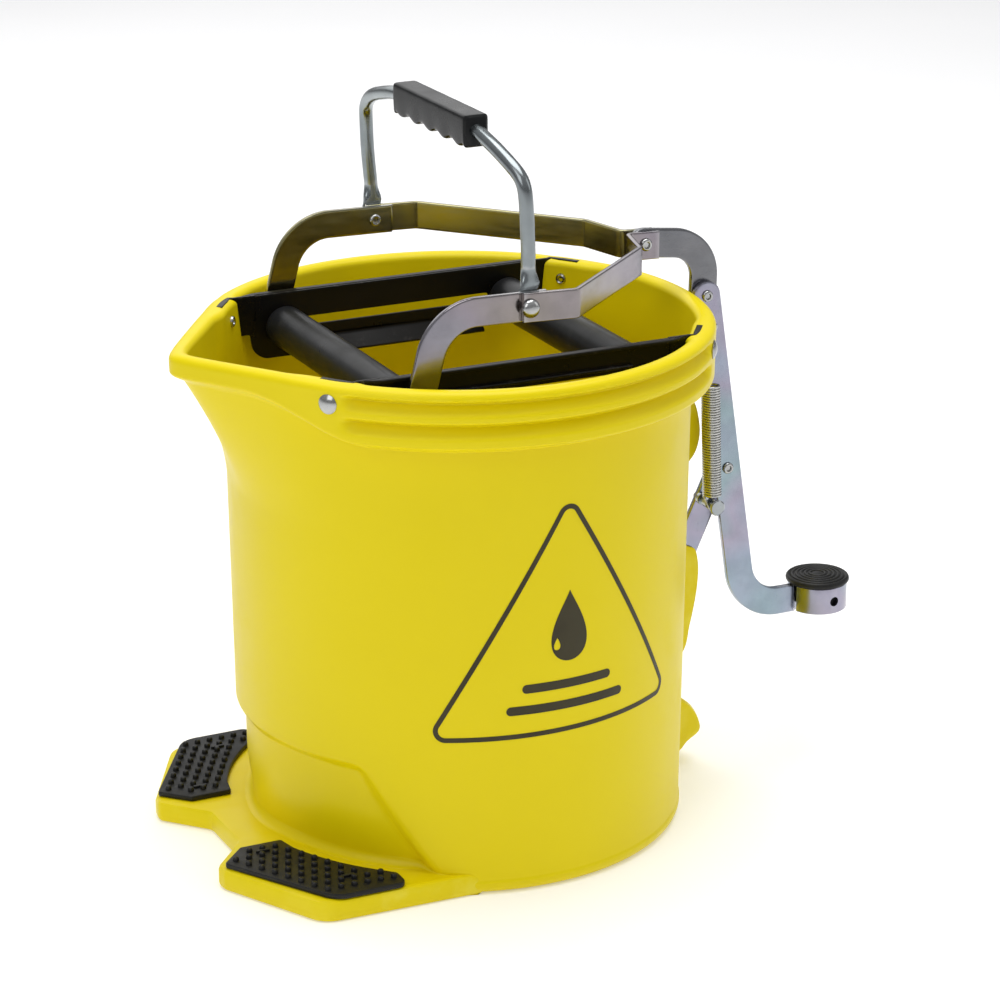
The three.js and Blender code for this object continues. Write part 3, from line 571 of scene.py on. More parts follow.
def plain_wall(phi, z):
    across_ = abs(phi)
    swell = max(0.0, (z - SPOUT_LOW) / (SPOUT_FULL - SPOUT_LOW)) ** 1.35
    lip = (LIP_RADIUS - BEAD_PROUD - WALL_RADIUS) * (1 - smooth(20 * DEG, 45 * DEG, across_))
    spout = min(1.0, swell) * (spout_reach(phi) + lip)
    side = (41 + 17.8 * (RECESS_TOP - z) / 57.7) * DEG
    inside = smooth(0, 7, RECESS_TOP - z) * smooth(0, 5 * DEG, side - across_)
    middle = 0.7 + 0.3 * smooth(0, 24 * DEG, across_)
    recess = inside * middle * (RECESS_DEPTH + RECESS_FOOT * (1 - smooth(13, 45, z)))
    return wall_radius(z) + spout - recess


def groove_depth(phi, z):
    across_ = abs(phi)
    ends = smooth(39.5 * DEG, 42.5 * DEG, across_) * (1 - smooth(138.5 * DEG, 141.5 * DEG, across_))
    if not BAND_LOW < z < BAND_LOW + 2 * RIB_PITCH:
        return 0.0
    above = (z - BAND_LOW) % RIB_PITCH
    slope = (above - RIB_FLAT) / (RIB_PITCH - RIB_FLAT - 2)
    if slope <= 0:
        return 0.0
    underside = (RIB_PITCH - above) / 2 if slope > 1 else slope
    return ends * GROOVE_DEPTH * underside


def outer_sharp(phi, z):
    plain = plain_wall(phi, z)
    band_low = mix(BEAD_LOW, BAND_LOW - 2.5, smooth(15 * DEG, 45 * DEG, abs(phi)))
    band = rib_envelope(z) + spout_reach(phi) - groove_depth(phi, z)
    return plain + max(0.0, band - plain) * smooth(band_low - 4, band_low + 1.5, z)


def outer_radius(phi, z):
    """The outer wall with its rib edges softened."""
    if z < 255:
        return outer_sharp(phi, z)
    spread = (-0.9, -0.45, 0, 0.45, 0.9)
    return sum(outer_sharp(phi, min(RIM_TOP, z + d)) for d in spread) / len(spread)


def inner_radius(phi, z):
    across_ = abs(phi)
    from_axis = min(across_, math.pi - across_)
    plain = plain_wall(phi, max(z, BASE_FILLET + 3)) - WALL
    mouth = MOUTH_RADIUS + spout_reach(phi)
    is_open = mix(plain, mouth, smooth(266, 278, z) if mouth > plain else smooth(285, 292, z))
    panel = smooth(24 * DEG, 31 * DEG, from_axis) * (1 - smooth(42 * DEG, 45 * DEG, from_axis))
    covered = min(is_open, MOUTH_RADIUS - 2.6)
    corner = max(0.0, FLOOR + BASE_FILLET - z)
    fillet = corner - math.sqrt(max(0.0, BASE_FILLET ** 2 - (BASE_FILLET - corner) ** 2)) + corner
    return mix(is_open, covered, panel * smooth(262, 270, z)) - max(0.0, min(corner, fillet))


def lip_radius(phi, turn):
    out = outer_radius(phi, RIM_TOP - LIP_ROUND)
    inn = inner_radius(phi, RIM_TOP)
    cosine = math.cos(turn * DEG)
    return (out + inn) / 2 + math.copysign(abs(cosine) ** 0.88, cosine) * (out - inn) / 2


def frange(start, stop, step):
    count = max(1, round((stop - start) / step))
    return [start + (stop - start) * i / count for i in range(count)]


def bucket_angles():
    fine = frange(-6, 6, 0.4)
    return [a * DEG for a in frange(-180, -6, 1.0) + fine + frange(6, 180, 1.0)]


def bucket_shell():
    angles = bucket_angles()
    outer_z = ([0] + frange(0.4, 9, 0.7) + frange(9, 66, 3) + frange(66, 78, 0.8)
               + frange(78, SPOUT_LOW, 9) + frange(SPOUT_LOW, 262, 3)
               + frange(262, RIM_TOP - LIP_ROUND, 0.55))
    inner_z = (frange(RIM_TOP - LIP_ROUND, 260, 1.3) + frange(260, SPOUT_LOW, 4) + frange(SPOUT_LOW, 80, 12)
               + frange(80, 64, 2) + frange(64, 12, 4) + frange(12, FLOOR + 0.1, 1.0))
    verts, faces = [], []
    rows = 0

    def ring(radius, z):
        nonlocal rows
        verts.extend((-radius(phi) * math.cos(phi), radius(phi) * math.sin(phi), z) for phi in angles)
        rows += 1

    ring(lambda phi: 0.35 * wall_radius(0), 1.2)
    ring(lambda phi: wall_radius(0) - 4.5, 1.2)
    ring(lambda phi: wall_radius(0) - 3.6, 0)
    for z in outer_z:
        ring(lambda phi, z=z: outer_radius(phi, z), z)
    for turn in range(0, 181, 12):  # rolled lip, a flattened half round
        level = RIM_TOP - LIP_ROUND + LIP_ROUND * math.sin(turn * DEG) ** 0.88
        ring(lambda phi, turn=turn: lip_radius(phi, turn), level)
    for z in inner_z[1:]:
        ring(lambda phi, z=z: inner_radius(phi, z), z)
    ring(lambda phi: 0.35 * wall_radius(0), FLOOR)
    count = len(angles)
    for row in range(rows - 1):
        for i in range(count):
            j = (i + 1) % count
            a, b = row * count, (row + 1) * count
            faces.append((a + i, a + j, b + j, b + i))
    for row, z in ((0, 1.2), (rows - 1, FLOOR)):
        centre = len(verts)
        verts.append((0, 0, z))
        faces += [(row * count + i, row * count + (i + 1) % count, centre) for i in range(count)]
    return verts, faces


def platform():
    """The foot platform; its back edge ends inside the thickness of the wall."""
    half = [(-150, 22), (-173, 48), (-172, 56), (-138, 120), (-42, 122.6)]
    in_wall = []
    for turn in range(70, -71, -2):
        phi = turn * DEG
        reach = outer_radius(phi, PLATFORM_TOP) - 2.9
        in_wall.append((-reach * math.cos(phi), reach * math.sin(phi)))
    corners = points(*half, *in_wall, *[(x, -y) for x, y in reversed(half)])
    radii = [8, 6, 6, 16, 0] + [0] * len(in_wall) + [0, 16, 6, 6, 8]
    return slab(rounded(corners, radii, True), 0, PLATFORM_TOP, 2.6, along_z)


def wall_fillet():
    """The hollow round between the platform and the wall of the toe recess."""
    fillet, span, steps, turns = 5.0, 62, 62, 8
    verts, faces = [], []
    for i in range(steps + 1):
        phi = mix(-span, span, i / steps) * DEG
        size = fillet * (1 - 0.96 * smooth(50 * DEG, span * DEG, abs(phi)))
        foot = outer_radius(phi, PLATFORM_TOP + size)
        profile = [(foot - 2, PLATFORM_TOP + size)]
        for k in range(turns + 1):
            angle = k / turns * math.pi / 2
            profile.append((foot + size * (1 - math.cos(angle)),
                            PLATFORM_TOP + size * (1 - math.sin(angle))))
        profile.append((foot - 2, PLATFORM_TOP))
        verts += [(-r * math.cos(phi), r * math.sin(phi), z) for r, z in profile]
    count = turns + 3
    for i in range(steps):
        for k in range(count):
            m = (k + 1) % count
            faces.append((i * count + k, i * count + m, (i + 1) * count + m, (i + 1) * count + k))
    faces += [tuple(range(count)), tuple(range(steps * count, (steps + 1) * count))]
    return verts, faces


def soft_lug(corners, low, high, edge=2.5):
    """A moulded lug: a smooth closed curve through the corners, with rounded edges."""
    count = len(corners)
    knots = points(*corners)
    loop = []
    for i in range(count):
        a, b, c, d = (knots[(i + k) % count] for k in (-1, 0, 1, 2))
        for step in range(6):
            t = step / 6
            loop.append(0.5 * (2 * b + (c - a) * t + (2 * a - 5 * b + 4 * c - d) * t ** 2
                               + (3 * b - a - 3 * c + d) * t ** 3))
    return moved(slab(loop, low, high, edge, along_y), out_of_bucket)


def out_of_bucket(v):
    """Moves a point that lies inside the bucket out into the thickness of its wall."""
    least = wall_radius(max(0.0, v.z)) - WALL / 2
    reach = math.hypot(v.x, v.y)
    if reach >= least:
        return v
    return Vector((v.x * least / reach, v.y * least / reach, v.z))


def pad_outline(shrink=0.0):
    on_arc = [(-138 * math.cos(a * DEG), -138 * math.sin(a * DEG)) for a in range(46, 21, -3)]
    corners = points((-155.5, -38.6), (-170.8, -54.3), (-131, -120.4), (-88, -120.9), (-88, -107),
                     *on_arc, (-130.6, -38.6))
    radii = [2, 2, 16, 5, 4] + [0] * len(on_arc) + [2]
    loop = rounded(corners, radii, True)
    if area_of(loop) < 0:
        loop = loop[::-1]
    return inset(loop, shrink) if shrink else loop


def is_inside(loop, x, y):
    inside = False
    for a, b in zip(loop, loop[1:] + loop[:1]):
        if (a.y > y) != (b.y > y) and x < (b.x - a.x) * (y - a.y) / (b.y - a.y) + a.x:
            inside = not inside
    return inside


def foot_pad():
    """A rubber pad with staggered round studs and two moulded location bars."""
    parts = [slab(pad_outline(), PAD_LOW, PAD_TOP, 0.8, along_z)]
    room = pad_outline(2.5)
    stud = [(0, 0), (1.85, 0), (1.8, 1.2), (1.65, 1.9), (1.3, 2.3), (0.7, 2.48), (0, 2.5)]
    start, across_, along = Vector((-164.2, -54.3)), Vector((7.9, -0.2)), Vector((4.6, -8.15))
    bars = [Vector((-146, -49.8)), Vector((-115.4, -100.1))]
    for i in range(-14, 15):
        for k in range(-14, 15):
            spot = start + across_ * i + along * k
            clear = all(abs(spot.x - bar.x) > 5.8 or abs(spot.y - bar.y) > 2.8 for bar in bars)
            if clear and is_inside(room, spot.x, spot.y):
                parts.append(shifted(upright(lathe(stud, 16)), spot.x, spot.y, PAD_TOP - 0.05))
    for bar in bars:
        loop = rounded([bar + Vector(p) for p in ((-4.2, -1), (4.2, -1), (4.2, 1), (-4.2, 1))], [0.9] * 4, True,
                       step=30)
        parts.append(slab(loop, PAD_TOP - 0.2, PAD_TOP + 1.3, 0.3, along_z))
    return joined(*parts)


UPPER_LUG = [(125, 240), (140, 238), (152, 231.6), (156.5, 218.5), (156.7, 206), (152, 195),
             (140, 186), (125, 180)]
SOCKET = [(125, 140), (152.7, 137.5), (158.9, 130), (159.3, 111.6), (154.6, 86.4), (148.9, 67.7),
          (125, 48)]
TIPPING_LUG = [(120, 52), (142, 44), (151, 38), (157, 27), (156.5, 20), (148.5, 14.5), (141, 8),
               (120, 2)]


def build_bucket():
    shell = add_piece("bucket_shell", *bucket_shell(), YELLOW, "base", "yellow_plastic",
                      ["bucket_body"], sharp=50)
    add_piece("platform", *joined(platform(), wall_fillet()), YELLOW, "base", "yellow_plastic",
              ["foot_platform"])
    add_piece("lug_upper", *soft_lug(UPPER_LUG, -6, 6), YELLOW, "base", "yellow_plastic",
              ["upper_lug"])
    cheeks = joined(soft_lug(SOCKET, -1.5, 0.9, 0.8), soft_lug(SOCKET, 5.1, 8.5, 1.4),
                    soft_lug([(x if x < 140 else 138, z) for x, z in SOCKET], 0.5, 5.5, 0.3))
    add_piece("socket", *cheeks, YELLOW, "base", "yellow_plastic", ["strut_socket"])
    add_piece("lug_tipping", *soft_lug(TIPPING_LUG, -14, 14, 4), YELLOW, "base", "yellow_plastic",
              ["tipping_lug"])
    for side, turn in (("left", lambda p: p), ("right", across)):
        add_piece(f"pad_{side}", *turn(foot_pad()), RUBBER, "base", "black_rubber",
                  [f"foot_pad_{side}"])
    return shell


# ---------------------------------------------------------------- printed mark on the wall
def on_wall(s, z, proud):
    """A point s millimetres round the wall from the -Y side, towards the pedal."""
    radius = wall_radius(z) + proud
    phi = math.pi / 2 + s / wall_radius(z)
    return -radius * math.cos(phi), -radius * math.sin(phi), z


def printed(outline, holes=()):
    """A thin film on the wall, cut finely enough to follow its curve."""
    low, high = 0.06, 0.22
    loops = [outline if area_of(outline) > 0 else outline[::-1]]
    loops += [hole[::-1] if area_of(hole) > 0 else hole for hole in holes]
    flat = [[Vector((p.x, p.y, 0)) for p in loop] for loop in loops]
    index = [p for loop in loops for p in loop]
    work = bmesh.new()
    corners = [work.verts.new((p.x, p.y, 0)) for p in index]
    for face in tessellate_polygon(flat):
        work.faces.new([corners[i] for i in face])
    for x in frange(-90, 100, 4):
        bmesh.ops.bisect_plane(work, geom=work.verts[:] + work.edges[:] + work.faces[:],
                               plane_co=(x, 0, 0), plane_no=(1, 0, 0))
    bmesh.ops.recalc_face_normals(work, faces=work.faces)
    top = bmesh.ops.extrude_face_region(work, geom=work.faces[:])
    for vert in (v for v in top["geom"] if isinstance(v, bmesh.types.BMVert)):
        vert.co.z = 1
    work.verts.index_update()
    verts = [on_wall(v.co.x, v.co.y, mix(low, high, v.co.z)) for v in work.verts]
    faces = [tuple(v.index for v in face.verts) for face in work.faces]
    work.free()
    return verts, faces


def build_mark():
    corners = points((5, 236), (-77, 93.5), (88.5, 96))
    outer = rounded(corners, [7, 7, 7], True)
    if area_of(outer) < 0:
        outer = outer[::-1]
    inner = inset(outer, 2.8)
    drop = []
    for i in range(48):
        turn = 2 * math.pi * i / 48
        reach = 15.5
        x = reach * math.sin(turn) * abs(math.sin(turn / 2)) ** 1.35
        z = -reach * 1.35 * math.cos(turn)
        drop.append(Vector((6 + x, 158 - z)))
    shine = [Vector((-1.6, 148)) + (p - Vector((6, 158))) * 0.18 for p in drop]
    bars = []
    for z, half in ((123.5, 28), (111, 37)):
        bar = rounded(points((6 - half, z - 2.6), (6 + half, z - 2.6), (6 + half, z + 2.6),
                             (6 - half, z + 2.6)), [2.5] * 4, True, step=15)
        bars.append(printed(bar))
    film = joined(printed(outer, [inner]), printed(drop, [shine]), *bars)
    add_piece("wall_mark", *film, MARK, "base", "black_rubber")


# ---------------------------------------------------------------- wringer plates
def slot_loop(start, end, z, half):
    loop = [Vector((start, z)) + Matrix.Rotation(a * DEG, 2) @ Vector((0, half))
            for a in range(0, 181, 12)]
    loop += [Vector((end, z)) + Matrix.Rotation(a * DEG, 2) @ Vector((0, -half))
             for a in range(0, 181, 12)]
    return loop


def bent_end(start, end, low, high, front):
    """The plate's end from the web, bent round the rim on the -Y side; its half width grows."""
    sign = -1 if front else 1
    turn = [mix(41.2, 33.2, i / 8) * DEG for i in range(9)]
    path = points((sign * 88, -PLATE_Y), (sign * 101.5, -PLATE_Y))
    path += [Vector((sign * FLANGE_RADIUS * math.cos(a), -FLANGE_RADIUS * math.sin(a))) for a in turn]
    outline = ribbon(path, 0, False, False, lambda i: mix(start, end, clamp01((i - 1) / 4)))
    return slab(outline, low, high, 0.35, along_z)


def side_plate():
    near, far = -PLATE_Y - PLATE / 2, -PLATE_Y + PLATE / 2
    end, top = 104.6, PLATE_TOP - 0.3
    corners = points((-end, 277.6), (-91.5, 277.6), (-89.5, 262), (-61, 262), (-61, 271.5),
                     (90, 271.5), (92, 281.6), (end, 281.6), (end, top), (-end, top))
    web = rounded(corners, [0, 2, 11, 2, 1.6, 3, 1.6, 0, 0, 0], True)
    slot = slot_loop(-77, 59.6, AXLE_Z, 2.6)
    parts = [slab(web, near, far, 0.35, along_y, [slot], 0.9)]
    flange = rounded(points((-98, near + 0.6), (-98, near), (-88, near - 4), (88, near - 4), (98, near),
                            (98, near + 0.6)), [0, 0, 8, 8, 0, 0], True)
    parts.append(slab(flange, 299, 301, 0.4, along_z))
    ledge = rounded(points((near - 3, 287.5), (near + 1, 287.5), (near + 1, 289.5), (near - 3, 289.5)),
                    [0.9, 0.2, 0.2, 0.9], True, step=30)
    parts.append(slab(ledge, -60, 64, 0.3, along_x))
    lip = rounded(points((near, 273.5), (far, 273.5), (far, 271.5), (far + 7.8, 263.7),
                         (far + 6.4, 262.3), (near, 270.7)), [0.1, 0.1, 2.4, 0.6, 0.6, 3], True, step=20)
    parts.append(slab(lip, -58, 56, 0.3, along_x))
    for front, low in ((True, 277.6), (False, 281.6)):
        parts.append(bent_end(1.0, 1.0, low, RIM_TOP - 0.2, front))
        parts.append(bent_end(1.0, 1.8, RIM_TOP - 1.6, RIM_TOP + 0.15, front))
    return joined(*parts)


def rim_rivet(front, side):
    """Domed outside head, small hollow inside head, on a radial line through the rim."""
    outside = [(2.5, 141), (5.3, 146.6), (5.5, 147.7)] + arc((0, 140.2), 9.3, 53.7, 90, 8)
    inside = [(0, 132.9), (1.3, 132.9), (1.7, 131.9), (2.4, 131.6), (3.1, 132.0), (3.4, 132.8),
              (3.4, 133.6), (2.5, 134.2)]
    rivet = lathe(inside + outside[:-1] + [(0, outside[-1][1])], 40)
    angle = (180 - RIVET_ANGLE * side if front else RIVET_ANGLE * side) * DEG
    turn = Matrix.Rotation(angle, 3, "Z") @ Matrix.Rotation(-math.pi / 2, 3, "Z")
    lift = Vector((0, 0, RIVET_Z))
    return moved(rivet, lambda v: turn @ v + lift)


def build_plates():
    for side, turn, sign in (("left", lambda p: p, -1), ("right", across, 1)):
        add_piece(f"plate_{side}", *turn(side_plate()), BLACK, "base", "black_paint",
                  [f"side_plate_{side}"])
        for where in ("front", "rear"):
            add_piece(f"rivet_{where}_{side}", *rim_rivet(where == "front", sign), CHROME, "base",
                      "chrome_rivets", [f"rim_rivet_{where}_{side}"])


# ---------------------------------------------------------------- rollers and axles
def roller_form(bore):
    r, end = ROLLER_RADIUS, ROLLER_HALF
    profile = [(bore, -end + 1.2), (bore + 1, -end), (r - 2.2, -end)]
    profile += arc((r - 2.2, -end + 2.2), 2.2, -80, 0, 5)
    profile += [(r, mix(-end + 2.2, end - 2.2, i / 12)) for i in range(1, 12)]
    profile += arc((r - 2.2, end - 2.2), 2.2, 0, 80, 5)
    profile += [(r - 2.2, end), (bore + 1, end), (bore, end - 1.2), (bore, -end + 1.2)]
    return lathe(profile, 64)


def axle_form(radius, half):
    return lathe([(0, -half), (radius - 0.6, -half), (radius, -half + 0.6), (radius, half - 0.6),
                  (radius - 0.6, half), (0, half)], 32)


def washer_form(bore, outer, thick):
    return lathe([(bore, 0.2), (bore + 0.3, 0), (outer - 0.4, 0), (outer, 0.4), (outer, thick - 0.7),
                  (outer - 0.8, thick), (bore + 1.0, thick), (bore, thick - 0.5), (bore, 0.2)], 32)


def build_axle(name, x, radius, half, cap_at, body, roller_body):
    place = {"x": x, "z": AXLE_Z}
    add_piece(f"{name}_bar", *shifted(axle_form(radius, half), **place), ROD_ZINC, body,
              "zinc_steel", [f"{name}_axle"])
    add_piece(f"{name}_sleeve", *shifted(roller_form(radius + 0.3), **place), ROLLER, roller_body,
              "grey_rubber", [f"{name}_roller"])
    cap = shifted(washer_form(radius + 0.1, radius + 3, 2), y=cap_at, **place)
    material, slot = (BLACK, "zinc_steel") if name == "rear" else (ROD_ZINC, "zinc_steel")
    add_piece(f"{name}_washer_left", *across(cap), material, body, slot, [f"{name}_axle_cap_left"])
    add_piece(f"{name}_washer_right", *cap, material, body, slot, [f"{name}_axle_cap_right"])


# ---------------------------------------------------------------- strap frame
def vec(pair):
    return Vector(pair)


def dome(radius, height, base, way, steps=8):
    """Rivet head profile from its edge to its crown, growing towards `way`."""
    return [(radius, base)] + [
        (radius * math.cos(t * math.pi / 2 / steps) ** 0.8 if t < steps else 0,
         base + way * (0.5 + (height - 0.5) * math.sin(t * math.pi / 2 / steps)))
        for t in range(steps + 1)]


def hollow(radius, height, base, way):
    """Rolled head of a tubular rivet: a rounded ring around a small hollow."""
    shape = [(1.0, 0.0), (1.0, 0.35), (0.93, 0.68), (0.80, 0.92), (0.66, 1.0), (0.52, 0.90),
             (0.44, 0.62), (0.40, 0.30), (0.0, 0.24)]
    return [(radius * r, base + way * height * h) for r, h in shape]


def rivet_form(start, end, near, far, shank=2.5):
    """A rivet along Y; each head is (form, radius, height)."""
    near_form, near_radius, near_height = near
    far_form, far_radius, far_height = far
    low = near_form(near_radius, near_height, start, -1)[::-1]
    return lathe(low + [(shank, start), (shank, end)] + far_form(far_radius, far_height, end, 1), 40)


def gooseneck():
    path = rounded([Vector((FRONT_X, AXLE_Z)), Vector((-57.8, 335.2)), Vector((5, 334))], [0, 28, 0],
                   step=3)
    loop = ribbon(path, STRAP, True, False)
    return slab(loop, -ARM_Y - BAR / 2, -ARM_Y + BAR / 2, 0.45, along_y,
                [circle((FRONT_X, AXLE_Z), 3.4)], 1.0)


def fork_member():
    tab = 2 + 0.3 + BAR / 2
    path = rounded(points((-10, -FORK_Y), (22.5, -FORK_Y), (98.8, -34.5), (107, -tab), (127, -tab)),
                   [0, 5, 6, 4.5, 0], step=5)
    dense = []
    for a, b in zip(path, path[1:]):
        pieces = max(1, round((b - a).length / 4))
        dense += [a.lerp(b, i / pieces) for i in range(pieces)]
    dense.append(path[-1])
    half, low, high = BAR / 2, 1.3, STRAP - 1.3  # extra points keep the edge tint, partly wear and partly painted highlight, near the edges
    section = rounded(points((-half, 0), (half, 0), (half, low), (half, high), (half, STRAP),
                             (-half, STRAP), (-half, high), (-half, low)),
                      [0.5, 0.5, 0, 0, 0.5, 0.5, 0, 0], True, step=30)
    verts, faces = [], []
    count = len(section)
    for i, point in enumerate(dense):
        along = (dense[min(i + 1, len(dense) - 1)] - dense[max(0, i - 1)]).normalized()
        side = Vector((-along.y, along.x))
        top = 342.6 - STRAP_SLOPE * (point.x - HANDLE_PIVOT[0])
        for corner in section:
            spot = point + side * corner.x
            verts.append((spot.x, spot.y, top - STRAP + corner.y))
    for row in range(len(dense) - 1):
        for k in range(count):
            m = (k + 1) % count
            faces.append((row * count + k, row * count + m, (row + 1) * count + m, (row + 1) * count + k))
    faces.append(tuple(range(count)))
    faces.append(tuple(range((len(dense) - 1) * count, len(dense) * count)))
    return verts, faces


def rear_link():
    path = rounded(points(LINK_RIVET, LINK_CORNER, TOP_PIVOT), [0, 22, 0], step=3)
    return slab(ribbon(path, LINK_WIDTH), -2, 2, 0.5, along_y, margin=1.0)


def build_strap_frame():
    body = "fork_frame"
    # The far (right) straps use the copy of the strap zinc with the painted yellow reflection.
    for side, turn, coat in (("left", lambda p: p, STRAP_ZINC), ("right", across, ZINC_WITH_PAINTED_YELLOW_REFLECTION)):
        add_piece(f"arm_{side}", *turn(gooseneck()), coat, body, "zinc_steel",
                  [f"gooseneck_arm_{side}"])
        add_piece(f"fork_{side}", *turn(fork_member()), coat, body, "zinc_steel",
                  [f"fork_member_{side}"])
    # The rear link uses the darker copy of the zinc with painted shade.
    add_piece("link_bar", *rear_link(), LINK_ZINC_PAINTED_SHADE, body, "zinc_steel", ["rear_link"])
    fork_face, arm_face = FORK_Y + BAR / 2, ARM_Y - BAR / 2
    pivot = {"x": HANDLE_PIVOT[0], "z": HANDLE_PIVOT[1]}
    near = rivet_form(-fork_face - 0.1, -arm_face + EYE + 0.5, (dome, 5.3, 3.8), (dome, 5.0, 1.8))
    add_piece("pivot_rivet_left", *shifted(near, **pivot), CHROME, body, "chrome_rivets",
              ["handle_rivet_left"])
    far = rivet_form(arm_face - 0.1, fork_face + EYE + 0.5, (hollow, 3.7, 1.6), (dome, 5.3, 3.8))
    add_piece("pivot_rivet_right", *shifted(far, **pivot), CHROME, body, "chrome_rivets",
              ["handle_rivet_right"])
    link = rivet_form(-5.4, 5.4, (hollow, 3.8, 1.8), (dome, 4.2, 2.4))
    add_piece("fork_rivet", *shifted(link, x=LINK_RIVET[0], z=LINK_RIVET[1]), CHROME, body,
              "chrome_rivets", ["link_rivet"])
    top = rivet_form(LEVER_Y - 2.1, 2.1, (hollow, 3.5, 1.6), (dome, 4.2, 1.8))
    add_piece("top_rivet", *shifted(top, x=TOP_PIVOT[0], z=TOP_PIVOT[1]), CHROME, body,
              "chrome_rivets", ["lever_top_rivet"])


# ---------------------------------------------------------------- pedal lever
def on_lever(z):
    slope = (TOP_PIVOT[0] - FULCRUM[0]) / (TOP_PIVOT[1] - FULCRUM[1])
    return FULCRUM[0] + slope * (z - FULCRUM[1])


def pedal_ring():
    """A strap rolled into a ring, open at a narrow slit on its near left side."""
    slit, gap = 191.5, 4.5
    section = rounded(points((RING_INNER, RING_LOW), (RING_OUTER, RING_LOW), (RING_OUTER, RING_HIGH),
                             (RING_INNER, RING_HIGH)), [0.5] * 4, True, step=30)
    verts, faces = [], []
    steps, count = 96, len(section)
    for i in range(steps + 1):
        angle = mix(slit + gap, slit + 360 - gap, i / steps) * DEG
        verts += [(PEDAL_X + p.x * math.cos(angle), LEVER_Y + p.x * math.sin(angle), p.y)
                  for p in section]
    for row in range(steps):
        for k in range(count):
            m = (k + 1) % count
            faces.append((row * count + k, row * count + m, (row + 1) * count + m, (row + 1) * count + k))
    faces.append(tuple(range(count)))
    faces.append(tuple(range(steps * count, (steps + 1) * count)))
    return verts, faces


def drill(piece, verts, faces):
    """Cuts a shape out of a piece and applies the cut."""
    mesh = bpy.data.meshes.new("drill")
    mesh.from_pydata([(x * MM, y * MM, z * MM) for x, y, z in verts], [], faces)
    work = bmesh.new()
    work.from_mesh(mesh)
    bmesh.ops.recalc_face_normals(work, faces=work.faces)
    work.to_mesh(mesh)
    work.free()
    cutter = bpy.data.objects.new("drill", mesh)
    bpy.context.scene.collection.objects.link(cutter)
    modifier = piece.modifiers.new("drill", "BOOLEAN")
    modifier.operation = "DIFFERENCE"
    modifier.solver = "EXACT"
    modifier.object = cutter
    graph = bpy.context.evaluated_depsgraph_get()
    result = bpy.data.meshes.new_from_object(piece.evaluated_get(graph))
    piece.modifiers.clear()
    piece.data = result
    bpy.data.objects.remove(cutter)


def pedal_cap():
    """A thick rubber cap with concentric treads, and the plug that holds it in the ring."""
    def crown(radius):
        return CAP_HIGH - 1.5 * (radius / CAP_RADIUS) ** 2.4

    plug = RING_INNER - 0.3
    profile = [(0, PLUG_LOW), (plug - 0.6, PLUG_LOW), (plug, PLUG_LOW + 0.6), (plug, CAP_LOW)]
    profile += arc((CAP_RADIUS - 1.3, CAP_LOW + 1.3), 1.3, -90, 0, 5)
    profile += arc((CAP_RADIUS - 2.1, CAP_HIGH - 3.1), 2.1, 0, 70, 7)
    tread = ((1.0, -0.45), (0.8, 0.0), (0.5, 0.22), (0.0, 0.30), (-0.5, 0.22), (-0.8, 0.0),
             (-1.0, -0.45))
    for ridge in (15.6, 12.9, 10.2, 7.5, 4.8):
        profile += [(ridge + away, crown(ridge + away) - 0.3 + rise) for away, rise in tread]
    profile += [(1.9, CAP_HIGH - 0.3), (0, CAP_HIGH - 0.05)]
    return lathe(profile, 72)


def build_lever():
    path = rounded([vec(TOP_PIVOT), Vector((on_lever(FOOT_Z), FOOT_Z)), Vector((PEDAL_X - 16.8, FOOT_Z))],
                   [0, 28, 0], step=3)
    bar = slab(ribbon(path, LEVER_WIDTH, True, False), LEVER_Y - LEVER / 2, LEVER_Y + LEVER / 2, 0.5,
               along_y, margin=1.0)
    add_piece("lever_bar", *bar, LEVER_ZINC, "lever", "zinc_steel", ["pedal_lever"])
    ring = add_piece("pedal_ring", *pedal_ring(), LEVER_ZINC, "lever", "zinc_steel")
    hole = lathe([(0, 13), (3, 13), (3, 21), (0, 21)], 32)
    drill(ring, *shifted(moved(hole, lambda v: Vector((v.x, -v.y, v.z))), PEDAL_X + 1.8, LEVER_Y,
                         FOOT_Z - 0.1))
    add_piece("pedal_tread", *shifted(upright(pedal_cap()), PEDAL_X, LEVER_Y), RUBBER, "lever",
              "black_rubber", ["pedal_cap"])


# ---------------------------------------------------------------- strut, pins and spring
def pin_form(head_radius, head, tail, foot, collars=()):
    """A flat-headed pin along Y; a collar is (radius, from, to) on its shank."""
    shank = 1.8
    profile = [(0, head - 1.8), (head_radius - 0.8, head - 1.8), (head_radius, head - 1.1),
               (head_radius, head - 0.3), (head_radius - 0.3, head), (shank, head)]
    for radius, low, high in collars:
        profile += [(shank, low), (radius - 0.3, low), (radius, low + 0.3), (radius, high - 0.3),
                    (radius - 0.3, high), (shank, high)]
    profile += [(shank, tail), (2.3, tail), (2.4, tail + 0.3), (2.0, tail + foot), (0, tail + foot + 0.1)]
    return lathe(profile, 32)


